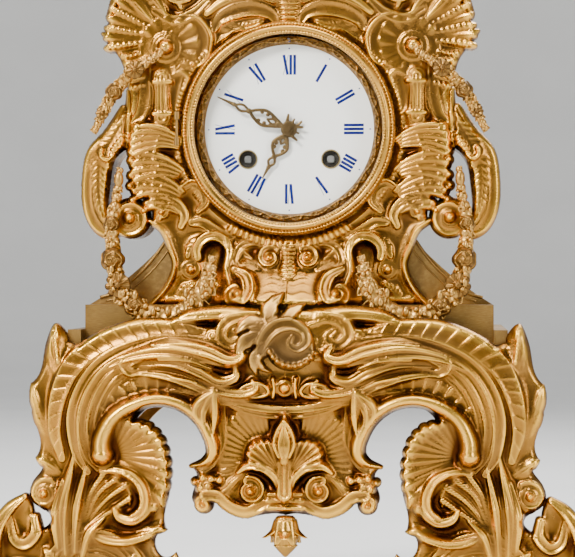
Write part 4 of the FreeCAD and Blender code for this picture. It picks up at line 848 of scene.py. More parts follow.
def base_foot(r):
    """The lower leg and the scrolled foot."""
    outer = [(-138.4, 77), (-146, 71), (-152.6, 61), (-155, 49), (-153.6, 36), (-146.6, 26)]
    r.stroke(outer, [1.6, 3.2, 4.2, 4.6, 4.6, 4.0], [5, 7, 8, 8, 8, 8], gutter, 1.2, proud=True)
    r.stroke([(-146, 66), (-143.4, 55), (-137.4, 52), (-131.6, 58), (-132.4, 66)], [1.6, 2.6, 3.0, 3.0, 2.4],
             [5, 7, 7, 7, 6],
             gutter, 1.2, proud=True)
    r.volute((-139, 30), 13.4, 140, -2.1, 4.2, 9.0, 1.2, proud=True)
    r.volute((-72, 30), 11.0, 40, 1.9, 3.5, 8.0, 1.2, proud=True)
    centre = (-101, 30)
    for radius, width, height in ((27.5, 2.6, 6.4), (21.5, 2.4, 5.4), (15.5, 2.4, 4.6)):
        r.stroke(arc(centre, radius, 8, 172), width, height, gutter, 1.0)
    r.fan(centre, 3.5, 12.8, 0, 180, 9, 5.0, level=0.8, scallop=0.1)
    r.leaf([(-124, 15), (-119, 28), (-121, 42), (-128, 50)], 6.0, 5.2, lobes=4, level=1.0)
    r.leaf([(-84, 15), (-86, 27), (-83, 40), (-77, 48)], 5.2, 5.0, lobes=4, level=1.0)
    r.stroke([(-149, 15.4), (-110, 15.4), (-70, 15.4)], 3.0, 5.4, steps(3), 1.0)


def base_belly(r):
    """Plumes from which the shoulder mouldings grow, and the belly's framed foot."""
    plumes = (([(-96, 143.5), (-80, 150.6), (-60, 154.4), (-42, 152.6), (-29, 149), (-22.4, 151.6),
                (-24.6, 156.6)],
               [1.0, 4.6, 7.4, 6.4, 4.4, 3.6, 1.4], [6, 8.4, 10.4, 10.4, 10, 9, 7]),
              ([(-76, 146), (-58, 146.6), (-44, 143), (-34, 138.4), (-26, 140.4), (-25.4, 146)],
               [1.0, 3.6, 4.8, 4.0, 3.2, 1.2], [6, 8, 9.4, 9, 8.4, 7]),
              ([(-86, 142), (-66, 141), (-50, 137.4), (-36, 132.6), (-22, 131.4), (-15, 134.6), (-17, 139)],
               [1.0, 3.0, 4.4, 4.8, 4.2, 3.2, 1.2], [5, 7, 8.4, 8.6, 8.4, 8, 6]),
              ([(-62, 133.8), (-46, 131.4), (-34, 127.4), (-22, 126)], [0.8, 2.4, 2.6, 1.0],
               [5, 6.4, 6.4, 5]))
    for path, widths, heights in plumes:
        r.stroke(path, widths, heights, plume, 0.6)
    for path in ([(-70, 157.2), (-52, 157.8), (-36, 154.8)], [(-66, 149.4), (-50, 149), (-38, 145)],
                 [(-60, 140.4), (-46, 137.6)]):
        r.stroke(path, [0.3, 0.8, 0.3], 1.4, dome, 8.6)
    r.stroke([(-40, 133), (-24, 126.8), (-11, 124.2), (0, 123.4)], 2.0, 4.4, gutter, 3.2)
    r.stroke([(-36, 128.4), (-22, 122.4), (-9, 119.6), (0, 119)], 1.4, 3.6, dome, 1.6)
    oval = [(-8.6, 134), (-13, 137.4), (-20, 136.4), (-25, 132), (-17, 130.0), (-10, 131.0), (-8.6, 134)]
    r.stroke(oval, 1.1, 3.4, dome, 3.6)
    r.stroke([(-10.6, 133.8), (-21, 133)], [1.8, 1.2], 1.6, dome, 2.8)
    r.stroke([(-6.0, 139.8), (-5.4, 134.8), (-6.0, 130.0)], 1.0, 3.4, dome, 4.0)
    r.boss((0, 134.8), 3.0, 4.8, 3.8)
    r.boss((0, 134.8), 4.8, 3.0, 3.4, cup(0.3, 3))
    r.fan((0, 150), 14, [27, 27, 31, 38, 46, 44], 90, 184, 26, 2.4, level=1.4, scallop=0.0, dish=0.3,
          floor=0.8)
    r.stroke([(-16, 172), (-34, 173.4), (-50, 171.6), (-61, 168.4)], [4.6, 4.8, 4.6, 2.4], 3.8, plume, 0.6,
             proud=True)
    r.stroke([(0, 173.4), (-18, 172.6), (-30, 169.4), (-33, 162), (-27.6, 157.6), (-22.6, 161.4), (-26, 165)],
             [1.4, 2.6, 3.2, 3.0, 2.6, 2.0, 1.2], [3, 5, 6, 6.4, 6, 5.4, 5], gutter, 1.2, proud=True)
    r.stroke([(-10, 166.5), (-16, 168.6), (-22, 170.4)], [1.0, 2.2, 1.2], 3.4, dome, 1.4)
    for x, z, radius in ((-38.0, 162.0, 3.6), (-31.6, 170.6, 3.0), (-14.6, 160.0, 2.6)):
        r.boss((x, z), radius, 3.4, 2.4, cup(0.3, 3))
        r.boss((x, z), radius * 0.42, 3.4, 2.6)


def base_apron(r):
    """The hanging apron: rays, a palmette with a bud, volutes, beads and a collar for the pendant."""
    r.fan((-6, 96), 9, [28, 33, 31, 29, 30], 96, 214, 17, 4.0, level=0.6, scallop=0.0, dish=0.5, floor=0.6)
    r.fan((-2.6, 91.0), 3.0, [17, 19.6, 21.4, 20.6, 17.6, 12], 104, 178, 7, 8.0, level=3.4, scallop=0.05,
          dish=0.25, floor=0.62)
    r.stroke([(0, 97), (-0.6, 104), (-0.4, 112), (0.4, 120.4)], [4.4, 5.6, 5.0, 1.6], [9, 10.6, 10, 7.4],
             dome, 3.2)
    for x, bend in ((-3.0, -5.4), (-1.2, -2.6), (1.0, 0.6)):
        r.stroke([(x, 99), (bend, 106), (bend + 1.8, 113.6), (0.8, 119.6)], [0.6, 0.9, 0.8, 0.4], 1.3, dome,
                 12.4)
    r.stroke([(-2.6, 80), (-4.6, 88), (-11, 93.4), (-19, 94.0), (-24.6, 90.4)], [1.8, 3.2, 3.8, 3.2, 1.2],
             [5, 8, 8.6, 7.4, 5.4], plume, 3.0)
    r.stroke([(0, 96), (0, 88), (0, 80)], [5.0, 4.4, 5.2], 7.4, reeded(3), 3.4)
    r.stroke([(-7, 80), (-18, 80), (-28, 79)], [3.6, 7.6, 4.0], 2.4, dome, 2.4)
    for z, w in ((79.4, 8.6), (75.8, 9.4), (72.0, 8.8)):
        r.stroke([(-w, z), (w, z)], 1.6, 3.4, dome, 4.6)
    r.volute((-17.8, 81.4), 8.2, 100, -1.5, 3.3, 9.0, 3.4)
    r.stroke([(-22.0, 90.0), (-27.4, 85.4), (-32, 80.6), (-38.5, 78.6)], [1.6, 3.0, 3.2, 1.4], 5.6, plume,
             1.4)
    r.stroke([(-8.6, 75.5), (-14.6, 71.8), (-21, 69.6), (-29, 72.2), (-36, 78.0), (-42.0, 78.6)],
             [2.0, 3.2, 3.6, 3.6, 3.4, 2.8], [7, 8, 9, 9, 9, 8.6], gutter, 2.4, proud=True)
    r.volute((-43.0, 73.6), 5.4, 80, 1.25, 2.3, 9.0, 2.0, proud=True)
    for k, (x, z) in enumerate(((-47.6, 85.4), (-43.4, 87.6), (-38.8, 87.0), (-45, 82.4), (-40.6, 83.4),
                                (-34.4, 86.4))):
        r.boss((x, z), 2.7, 5.4, 2.4, proud=k == 0)
    r.leaf([(-31, 92), (-25.6, 94), (-20, 91)], 3.0, 3.6, lobes=3, level=1.6)


def base_ground(full):
    """The base swells at the belly and at the knees."""
    belly = 5.5 * np.exp(-(full.X / 60) ** 2 - ((full.Z - 150) / 24) ** 2)
    knee = 3.0 * np.exp(-((np.abs(full.X) - 108) / 26) ** 2 - ((full.Z - 132) / 30) ** 2)
    foot = 2.0 * step_smooth(45 - full.Z, 0, 30)
    return 73.0 + belly + knee + foot


def soften(full, edge=2.6):
    """Rounds the relief down to the outline and takes the grid's stair steps off."""
    filled = 0.84 * blurred(full.h, max(2, int(2.0 / full.step))) + 0.7
    full.h = 0.5 * (full.h + filled + np.sqrt((full.h - filled) ** 2 + 0.5))
    fall = root(np.clip(full.depth / edge, 0, 1))
    full.h = full.h * (0.25 + 0.75 * fall) - 1.2 * (1 - fall)
    full.h = 0.5 * full.h + 0.5 * blurred(full.h, 1)
    full.h += chased(full)


def chased(full):
    """Fine tool marks: short ripples whose direction wanders over the surface."""
    wander = 1.6 * np.sin(full.X / 17 + 1.3) + 1.4 * np.cos(full.Z / 13) + 0.9 * np.sin((full.X + full.Z) / 7)
    ripple = np.sin(2.4 * (full.X * np.cos(wander) + full.Z * np.sin(wander)))
    patch = np.clip(np.sin(full.X / 5.3 + 2 * np.sin(full.Z / 9)) * np.cos(full.Z / 6.1), 0, 1)
    return 0.13 * ripple * patch


def casting_relief(node, plane, step, parts):
    """The left half of a casting: its outline at y = plane, then each part of the relief laid on in turn."""
    low, high = box_mm(node)
    r = Relief((low[0] - 3, low[2] - 1), (high[0], high[2] + 3), step, half=True)
    r.fill_outline(outline_loops(node, plane))
    r.h += 1.0
    for lay in parts:
        lay(r)
    return r


UPPER_PARTS = (upper_edges, upper_crest, upper_corner, upper_sides, upper_waist, upper_middle)
BASE_PARTS = (base_arch, base_shoulder, base_leg, base_foot, base_belly, base_apron)


def castings():
    """Each front casting in two halves that meet at x = 0."""
    step = 0.45
    beyond = 200
    for title, ground, parts in (("upper", upper_ground, UPPER_PARTS), ("base", base_ground, BASE_PARTS)):
        node = f"{title}_front_casting"
        low, high = box_mm(node)
        plane = high[1] if title == "upper" else low[1]
        full = casting_relief(node, plane, step, parts).both_sides()
        soften(full)
        for side, part in (("left", (-beyond, 0)), ("right", (0, beyond))):
            piece = relief_mesh(f"{title}_casting_{side}", full, ground(full), -high[1], GILT, part=part)
            own(piece, "case", "gilt_bronze", node)


def own(obj, body, slot, *replaced):
    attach(obj, body)
    if replaced:
        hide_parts(*replaced)


# ---------------------------------------------------------------- turned rings
def ring_mesh(name, profile, count, material, bump=None, centre=(0.0, 0.0)):
    """A ring turned from a profile of (radius, y); bump(angle, radius, y) gives moves outward and forward."""
    shape, _, _ = smooth(list(profile) + [profile[0]], 0.3)
    shape = shape[:-1]
    angles = np.linspace(0, 2 * pi, count, endpoint=False)
    A, R = np.meshgrid(angles, shape[:, 0], indexing="ij")
    Y = np.broadcast_to(shape[:, 1], A.shape).copy()
    if bump:
        out, ahead = bump(A, R, Y)
        R, Y = R + out, Y - ahead
    points = np.stack([centre[0] + R * np.cos(A), Y, DIAL_Z + centre[1] + R * np.sin(A)], -1).reshape(-1, 3)
    m = len(shape)
    i, j = np.meshgrid(np.arange(count), np.arange(m), indexing="ij")
    a, b = (i * m + j).ravel(), (i * m + (j + 1) % m).ravel()
    c, d = (((i + 1) % count) * m + (j + 1) % m).ravel(), (((i + 1) % count) * m + j).ravel()
    return new_object(name, points, np.column_stack([a, b, c, d]), material)


def bezel():
    low, high = box_mm("bezel_ring")
    front, back = low[1], high[1]

    def milled(A, R, Y):
        outer = np.exp(-((R - 55.6) / 0.8) ** 2) * (Y < front + 3.2)
        inner = np.exp(-((R - 51.2) / 0.6) ** 2) * (Y < front + 3.4)
        beads = np.abs(np.sin(A * 100))
        return np.zeros_like(R), (0.85 * outer + 0.6 * inner) * beads

    profile = [(50.3, front + 4.5), (50.3, front + 2.6), (50.9, front + 1.5), (51.6, front + 1.5),
               (52.1, front + 0.8),
               (53.2, front + 0.1), (54.4, front + 0.9), (54.8, front + 1.6), (55.6, front + 1.1),
               (56.4, front + 1.6),
               (57.0, front + 2.8), (57.0, back - 0.1), (54.0, back - 0.05), (51.2, back - 0.1),
               (51.2, front + 4.7)]
    ring = ring_mesh("bezel_turned_ring", profile, 1400, GILT_RING, milled)
    own(ring, "bezel", "gilt_bronze", "bezel_ring")


def sight():
    low, high = box_mm("sight_ring")
    front, back = low[1], high[1]

    def flowers(A, R, Y):
        """A running garland: a waving stem, leaves either side of it and small flowers."""
        face = np.clip((front + 3.6 - Y) / 1.2, 0, 1)
        across = (R - 47.5) / 1.9
        stem = np.exp(-((across - 0.45 * np.sin(14 * A)) / 0.22) ** 2)
        leaves = np.clip(np.sin(56 * A + 1.6 * across * np.sign(np.cos(14 * A))), 0,
                         1) * np.exp(-(across / 0.8) ** 4)
        pitch = (A * 14 / (2 * pi)) % 1
        flower = np.exp(-(((pitch - 0.25) / 0.13) ** 2 + ((across + 0.35) / 0.5) ** 2))
        petals = 0.6 + 0.4 * np.cos(5 * np.arctan2(across + 0.35, (pitch - 0.25) * 10))
        return np.zeros_like(R), face * (0.9 * stem + 1.1 * leaves + 1.6 * flower * petals)

    profile = [(45.5, front + 4.4), (45.5, front + 3.6), (45.9, front + 3.0), (46.5, front + 2.2),
               (47.4, front + 1.6),
               (48.3, front + 1.4), (49.0, front + 1.4), (49.6, front + 1.8), (49.7, front + 3.4),
               (49.7, back - 0.1),
               (47.9, back - 0.1), (46.2, front + 4.5)]
    ring = ring_mesh("sight_flower_ring", profile, 1000, GILT_DARK, flowers)
    own(ring, "case", "gilt_bronze", "sight_ring")
    hole = ring_mesh("regulator_hole_shade", [(0.02, front + 1.1), (1.15, front + 1.1), (1.15, front + 1.9),
                                              (0.02, front + 1.9)],
                     28, BLUED, centre=(0.0, 47.7))
    own(hole, "case", "blued_steel")


def glass_pane():
    """The dome is shaded smooth."""
    faces = nodes["bezel_glass"].data.polygons
    faces.foreach_set("use_smooth", np.ones(len(faces), bool))


# ---------------------------------------------------------------- numerals
def bar_quad(a, b, width):
    (ax, az), (bx, bz) = a, b
    length = hypot(bx - ax, bz - az)
    nx, nz = -(bz - az) / length * width / 2, (bx - ax) / length * width / 2
    return [(ax + nx, az + nz), (ax - nx, az - nz), (bx - nx, bz - nz), (bx + nx, bz + nz)]


def glyph(letter, left):
    """The strokes of one roman letter and its width; z runs from 0 to 10.6."""
    tall, thick, thin = 10.6, 1.50, 0.24
    if letter == "I":
        return [bar_quad((left + 0.75, 0), (left + 0.75, tall), thick)], 2.12
    if letter == "V":
        return [bar_quad((left + 0.75, tall), (left + 1.8, 0), thick),
                bar_quad((left + 2.1, 0), (left + 3.1, tall), thin)], 3.4
    return [bar_quad((left + 0.8, tall), (left + 2.9, 0), thick),
            bar_quad((left + 0.5, 0), (left + 3.3, tall), thin)], 3.8


def numerals():
    points, faces = [], []
    level = DIAL_FRONT - 0.03

    def add(shape, angle):
        """shape is in a frame whose z runs outward; angle is clockwise from twelve."""
        a = radians(angle)
        start = len(points)
        for x, z in shape:
            points.append((x * cos(a) + z * sin(a), level, DIAL_Z - x * sin(a) + z * cos(a)))
        faces.append(tuple(range(start, start + len(shape))))

    names = ["XII", "I", "II", "III", "IIII", "V", "VI", "VII", "VIII", "IX", "X", "XI"]
    for hour, name in enumerate(names):
        strokes, left = [], 0.0
        for letter in name:
            made, width = glyph(letter, left)
            strokes += made
            left += width
        for quad in strokes:
            inner = 32.8 if hour in (4, 8) else 29.3
            add([(x - left / 2 + 0.25, inner + z * (40.0 - inner) / 10.6) for x, z in quad], 30 * hour)
        add([(0.42 * cos(t), 43.4 + 0.42 * sin(t)) for t in np.linspace(0, 2 * pi, 10, endpoint=False)],
            30 * hour)
    obj = new_object("dial_numerals", points, faces, BLUE, shade=False)
    own(obj, "case", "white_enamel")


# ---------------------------------------------------------------- hands
def hand(name, node, body, length, hub, swell, angle):
    """A cast and pierced hand, modelled pointing to twelve and then turned."""
    low, high = box_mm(node)
    r = Relief((-swell - 5, -9), (swell + 5, length + 1), 0.16)
    big, small = 0.34 * length, 0.66 * length
    wire = 0.86
    r.boss((0, 0), hub, 0.5, 0.5, cup(0.6, 3), True)
    for side in (-1, 1):
        body_path = [(0, hub * 0.8), (side * swell * 0.55, 0.20 * length), (side * swell, big),
                     (side * swell * 0.62, 0.46 * length),
                     (0, 0.55 * length)]
        r.stroke(body_path, wire, 0.8, dome, 0.1, proud=True)
        upper_path = [(0, 0.55 * length), (side * swell * 0.42, small), (0, 0.76 * length)]
        r.stroke(upper_path, wire * 0.8, 0.7, dome, 0.1, proud=True)
        for share in (0.24, 0.32, 0.40):
            r.boss((side * swell * 0.62, share * length), swell * 0.27, 0.7, 0.1, proud=True)
        r.stroke([(0, 0.17 * length), (side * swell * 0.32, 0.23 * length), (0, 0.30 * length)], wire * 0.7,
                 0.6, dome, 0.1,
                 proud=True)
        r.stroke([(side * hub * 0.5, -1), (side * hub * 0.9, -hub * 1.5)], [1.2, 0.6], 0.8, dome, 0.1,
                 proud=True)
    for share, radius in ((0.145, 1.5), (0.56, 1.5), (0.77, 1.2)):
        r.boss((0, share * length), radius, 0.9, 0.2, proud=True)
    r.stroke([(0, 0.78 * length), (0, 0.9 * length), (0, length)], [0.95, 0.62, 0.25], 0.6, dome, 0.1,
             proud=True)
    r.stroke([(0, -1), (0, -hub * 1.35)], [1.0, 0.5], 0.8, dome, 0.1, proud=True)
    bore = 1.6
    r.depth = np.minimum(r.depth, np.hypot(r.X, r.Z) - bore)
    depth = high[1] - low[1]
    r.h = np.clip(r.h, 0, 1) * depth * 0.62
    obj = relief_mesh(name, r, -high[1] + depth * 0.38, -high[1], HANDS)
    turn = Matrix.Translation((0, 0, DIAL_Z * MM)) @ Matrix.Rotation(radians(angle), 4, "Y")
    obj.data.transform(turn)
    own(obj, body, "bronze_hands", node)


# ---------------------------------------------------------------- flowers and leaves
class Bunch:
    """Points and faces gathered from many small shapes, each placed by a matrix."""

    def __init__(self):
        self.points, self.faces, self.count = [], [], 0

    def add(self, points, faces, matrix):
        p = np.asarray(points, float)
        p = p @ np.array(matrix.to_3x3()).T + np.array(matrix.translation)
        self.points.append(p)
        self.faces += [tuple(i + self.count for i in f) for f in faces]
        self.count += len(p)

    def object(self, name, material):
        return new_object(name, np.vstack(self.points), self.faces, material)


def bands(rows, around, first=0, reverse=False):
    """Quads that join rows of points, each row running once round."""
    faces = []
    for k in range(rows - 1):
        for i in range(around):
            a = first + k * around + i
            b = first + k * around + (i + 1) % around
            faces.append((a, a + around, b + around, b) if reverse else (a, b, b + around, a + around))
    return faces


def cap(first, around, tip, reverse=False):
    """Triangles that join a row of points to one tip."""
    edges = [(first + i, first + (i + 1) % around) for i in range(around)]
    return [(b, a, tip) if reverse else (a, b, tip) for a, b in edges]


def sheet_faces(rows, across):
    """A thin sheet: a grid of quads, the same grid behind it and the rim between them."""
    behind = rows * across
    faces = []
    for k in range(rows - 1):
        for c in range(across - 1):
            a = k * across + c
            faces.append((a, a + across, a + across + 1, a + 1))
            faces.append((behind + a, behind + a + 1, behind + a + across + 1, behind + a + across))
    rim = list(range(across)) + [k * across + across - 1 for k in range(1, rows)]
    rim += [(rows - 1) * across + c for c in range(across - 2, -1, -1)]
    rim += [k * across for k in range(rows - 2, 0, -1)]
    return faces + [(a, b, behind + b, behind + a) for a, b in zip(rim, rim[1:] + rim[:1])]


def disc_shape(height, rings=12, around=40, radius=lambda a: 1.0):
    """A closed disc facing -y whose front is height(share of the radius, angle); its size is 1."""
    angles = np.linspace(0, 2 * pi, around, endpoint=False)
    points = [(0, -height(0.0, 0.0), 0)]
    for k in range(1, rings + 1):
        share = k / rings
        points += [(share * radius(a) * cos(a), -height(share, a), share * radius(a) * sin(a))
                   for a in angles]
    base = len(points)
    points += [(0.9 * radius(a) * cos(a), 0.25, 0.9 * radius(a) * sin(a)) for a in angles]
    points.append((0, 0.3, 0))
    faces = cap(1, around, 0) + bands(rings + 1, around, 1, reverse=True)
    faces += cap(base, around, len(points) - 1, reverse=True)
    return np.array(points), [f[::-1] for f in faces]


def rose_shape():
    def height(share, a):
        turn = (share * 2.6 + a / (2 * pi)) % 1
        petal = 0.16 * (1 - turn) ** 0.7
        return 0.62 * (1 - share ** 2.2) + petal + 0.05 * cos(5 * a + 9 * share) * share
    return disc_shape(height, 18, 48, lambda a: 1 - 0.10 * abs(sin(2.5 * a)) ** 3)


def daisy_shape():
    def height(share, a):
        if share < 0.32:
            return 0.36 + 0.22 * (1 - (share / 0.32) ** 2) ** 0.5
        petal = abs(cos(4.5 * a)) ** 0.6
        return 0.10 + 0.26 * petal * (1 - (share - 0.3) * 0.8)
    return disc_shape(height, 12, 54, lambda a: 0.80 + 0.20 * abs(cos(4.5 * a)) ** 0.5)


def leaf_shape():
    """A pointed leaf from the origin along +x, length 1, facing -y."""
    rows, across = 12, 5
    points = []
    for side in (0, 1):
        for k in range(rows):
            t = k / (rows - 1)
            w = 0.40 * sin(pi * min(t ** 0.8, 1)) * (0.85 + 0.15 * abs(sin(4 * pi * t))) + 0.01
            for c in range(across):
                u = (c / (across - 1) - 0.5) * 2
                lift = -0.10 - 0.16 * abs(u) * sin(pi * t) - 0.25 * t * t + 0.02 * cos(14 * pi * t)
                points.append((t, lift + 0.07 * side, u * w))
    return np.array(points), sheet_faces(rows, across)


def ball_shape(around=12, rings=8, stretch=1.0):
    points = [(0, 0, stretch)]
    for k in range(1, rings):
        p = pi * k / rings
        points += [(sin(p) * cos(a), sin(p) * sin(a), stretch * cos(p))
                   for a in np.linspace(0, 2 * pi, around, endpoint=False)]
    points.append((0, 0, -stretch))
    last = len(points) - 1
    faces = cap(1, around, 0) + bands(rings - 1, around, 1, reverse=True)
    faces += cap(last - around, around, last, reverse=True)
    return np.array(points), faces


ROSE, DAISY, LEAF, BALL = rose_shape(), daisy_shape(), leaf_shape(), ball_shape()
BUD = ball_shape(12, 10, 1.7)


def at(position, size, tilt_x=0.0, tilt_z=0.0, roll=0.0):
    """Where a flower goes: size in mm, tilted about x and z, rolled about the line of sight."""
    return (Matrix.Translation(Vector(position)) @ Matrix.Rotation(radians(tilt_z), 4, "Z")
            @ Matrix.Rotation(radians(tilt_x), 4, "X") @ Matrix.Rotation(radians(roll), 4,
                                                                         "Y") @ Matrix.Scale(size, 4))


def along_path(path, count):
    """Evenly spread places on the path through (x, y, z) points, with the path's direction in (x, z)."""
    p = np.array(path, float)
    samples = np.linspace(0, len(p) - 1, 200)
    fine = np.column_stack([np.interp(samples, np.arange(len(p)), p[:, k]) for k in range(3)])
    length = np.concatenate([[0], np.cumsum(np.linalg.norm(np.diff(fine, axis=0), axis=1))])
    places = np.linspace(0, length[-1], count)
    spots = np.column_stack([np.interp(places, length, fine[:, k]) for k in range(3)])
    turns = np.degrees(np.arctan2(np.gradient(spots[:, 2]), np.gradient(spots[:, 0])))
    return spots, turns


def mirrored(obj):
    """Turns a left piece into the right one."""
    obj.data.transform(Matrix.Scale(-1, 4, (1, 0, 0)))
    obj.data.flip_normals()


def garland(name, node, path, thickness, flowers, mirror):
    """Leaves and small buds along the path, with the named flowers on top of them."""
    bunch = Bunch()
    random = np.random.default_rng(11)
    steps_along = 30 if len(path) > 7 else 19
    spots, turns = along_path(path, steps_along)
    share = np.linspace(0, 1, steps_along)
    for k, (spot, turn) in enumerate(zip(spots, turns)):
        size = np.interp(share[k], np.linspace(0, 1, len(thickness)), thickness)
        for side in (-1, 1):
            roll = -(turn + side * random.uniform(35, 70)) - (180 if random.random() < 0.2 else 0)
            bunch.add(*LEAF, at(spot + [0, -0.3 * size, 0], size * 1.35, random.uniform(-15, 15), side * 12,
                                roll))
        bunch.add(*BALL, at(spot, size * 1.04))
        for _ in range(6):
            offset = random.uniform(-0.85, 0.85, 3) * size
            offset[1] = -abs(offset[1]) - 0.40 * size
            bunch.add(*(BALL if random.random() < 0.7 else BUD),
                      at(spot + offset, size * random.uniform(0.20, 0.34)))
    for kind, where, size, roll in flowers:
        spot = spots[int(round(where * (steps_along - 1)))]
        bunch.add(*kind, at(spot + [0, -0.62 * size, 0], size * 1.18, 0, 0, roll))
    obj = bunch.object(name, GILT_DARK)
    if mirror:
        mirrored(obj)
    own(obj, "case", "gilt_bronze_dark", node)


UPPER_PATH = [(-66, -54, 315), (-76, -55, 307.5), (-86, -55, 300.5), (-95, -53, 290), (-101, -51.5, 279),
              (-104.5, -51, 272)]
LOWER_PATH = [(-90.8, -51.5, 250), (-92, -52.5, 238), (-95, -53, 222), (-94.3, -54, 208), (-92.8, -57.5, 195),
              (-88, -60.5, 183.5), (-76, -61.5, 173.5), (-63, -62.5, 170), (-51, -64, 174.5), (-43, -66, 187),
              (-39.6, -65.5, 202)]


def garlands():
    upper_flowers = [(DAISY, 0.35, 4.4, 10), (ROSE, 0.62, 4.2, 40), (DAISY, 0.82, 3.2, 20)]
    lower_flowers = [(BUD, 0.02, 2.2, 0), (ROSE, 0.21, 4.0, 15), (ROSE, 0.335, 5.8, 0),
                     (DAISY, 0.45, 6.0, 12),
                     (ROSE, 0.56, 5.2, 70), (DAISY, 0.66, 4.8, 33), (ROSE, 0.76, 4.6, 5)]
    for side, mirror in (("left", False), ("right", True)):
        garland(f"upper_swag_{side}", f"garland_upper_{side}", UPPER_PATH, (2.0, 2.8, 3.4, 3.0, 2.0),
                upper_flowers, mirror)
        garland(f"lower_swag_{side}", f"garland_lower_{side}", LOWER_PATH,
                (1.8, 2.8, 3.5, 4.2, 4.6, 4.9, 5.4, 6.2, 6.6, 5.2, 2.2),
                lower_flowers, mirror)


# ---------------------------------------------------------------- handles
def handles():
    low, high = box_mm("handle_scroll_left")
    step = 0.4
    r = Relief((low[0] - 3, low[2] - 3), (high[0] + 3, high[2] + 3), step)
    r.fill_outline(outline_loops("handle_scroll_left", low[1]))
    r.h += 1.0
    outer = [(-90, 284), (-98, 270.5), (-106.6, 259.5), (-109.2, 245), (-108.6, 230.5), (-103.6, 220.5),
             (-96.4, 216)]
    r.stroke(outer, [2.0, 3.0, 3.6, 3.6, 3.6, 3.0, 2.0], [3, 4.4, 5, 5, 5, 4.4, 3], gutter, 1.0, proud=True)
    r.leaf([(-88, 279), (-95.5, 266), (-101.5, 255), (-102.6, 241), (-100.6, 228), (-96, 219)], 6.4, 5.0,
           lobes=6, veins=3.4,
           level=2.0, curl=0.1)
    r.stroke([(-88.6, 268), (-94, 261), (-97, 252)], [2.6, 2.6, 1.4], 5.0, ribbed(2.6, 0.4), 2.0)
    r.volute((-85.8, 224.6), 11.2, 180, 2.1, 3.4, 7.6, 1.0, proud=True)
    r.stroke(arc((-97.5, 259.5), 3.8, 150, 330), 1.6, 4.0, dome, 4.4)
    r.stroke([(-86.6, 293), (-86.4, 278), (-86.6, 261)], [2.0, 3.0, 2.0], 3.0, dome, 0.6, proud=True)
    soften(r, 2.2)
    left = relief_mesh("handle_arm_left", r, -low[1] - 0.6, -high[1], GILT)
    right = left.copy()
    right.data = left.data.copy()
    right.name = "handle_arm_right"
    bpy.context.scene.collection.objects.link(right)
    mirrored(right)
    own(left, "case", "gilt_bronze", "handle_scroll_left")
    own(right, "case", "gilt_bronze", "handle_scroll_right")


# ---------------------------------------------------------------- plain parts of the case
def tube(name, path, radius, material, around=10):
    """A round wire along (x, y, z) points in millimetres."""
    p = np.array(path, float)
    along = np.gradient(p, axis=0)
    along /= np.linalg.norm(along, axis=1)[:, None]
    across = np.cross(along, (0, 1, 0))
    across /= np.linalg.norm(across, axis=1)[:, None] + 1e-9
    third = np.cross(along, across)
    angles = np.linspace(0, 2 * pi, around, endpoint=False)
    points = [a + radius * (cos(t) * b + sin(t) * c) for a, b, c in zip(p, across, third) for t in angles]
    last = (len(p) - 1) * around
    faces = bands(len(p), around) + [tuple(range(around))[::-1], tuple(last + i for i in range(around))]
    return new_object(name, points, faces, material)


def flanks():
    """A raised border on each flared flank of the case."""
    front = box_mm("case_shell")[0][1]
    flare, _, _ = smooth([(-63, 225), (-65, 217), (-74, 203.5), (-84, 193), (-95, 184.5), (-103.5, 181.8)],
                         1.5)
    for side, name in ((-1, "left"), (1, "right")):
        for offset, radius in ((0.0, 0.9), (3.4, 0.5)):
            path = [(-side * (x + offset), front - 0.2, z - 0.6 * offset) for x, z in flare]
            own(tube(f"flank_border_{name}_{int(offset)}", path, radius, SATIN), "case", "satin_gilt")


def winding_shades():
    """Painted shade: a dark ring behind each winding hole, for the shade in the hole's depth."""
    back = box_mm("winding_eyelets")[1][1]
    inner, outer = 2.4, 4.4
    profile = [(inner, back - 1.0), (outer, back - 1.0), (outer, back - 0.4), (inner, back - 0.4)]
    for side, name in ((-1, "left"), (1, "right")):
        hole = (side * 22.3, -16.0)
        own(ring_mesh(f"winding_hole_painted_shade_{name}", profile, 40, SHADE, centre=hole), "case", "blued_steel")


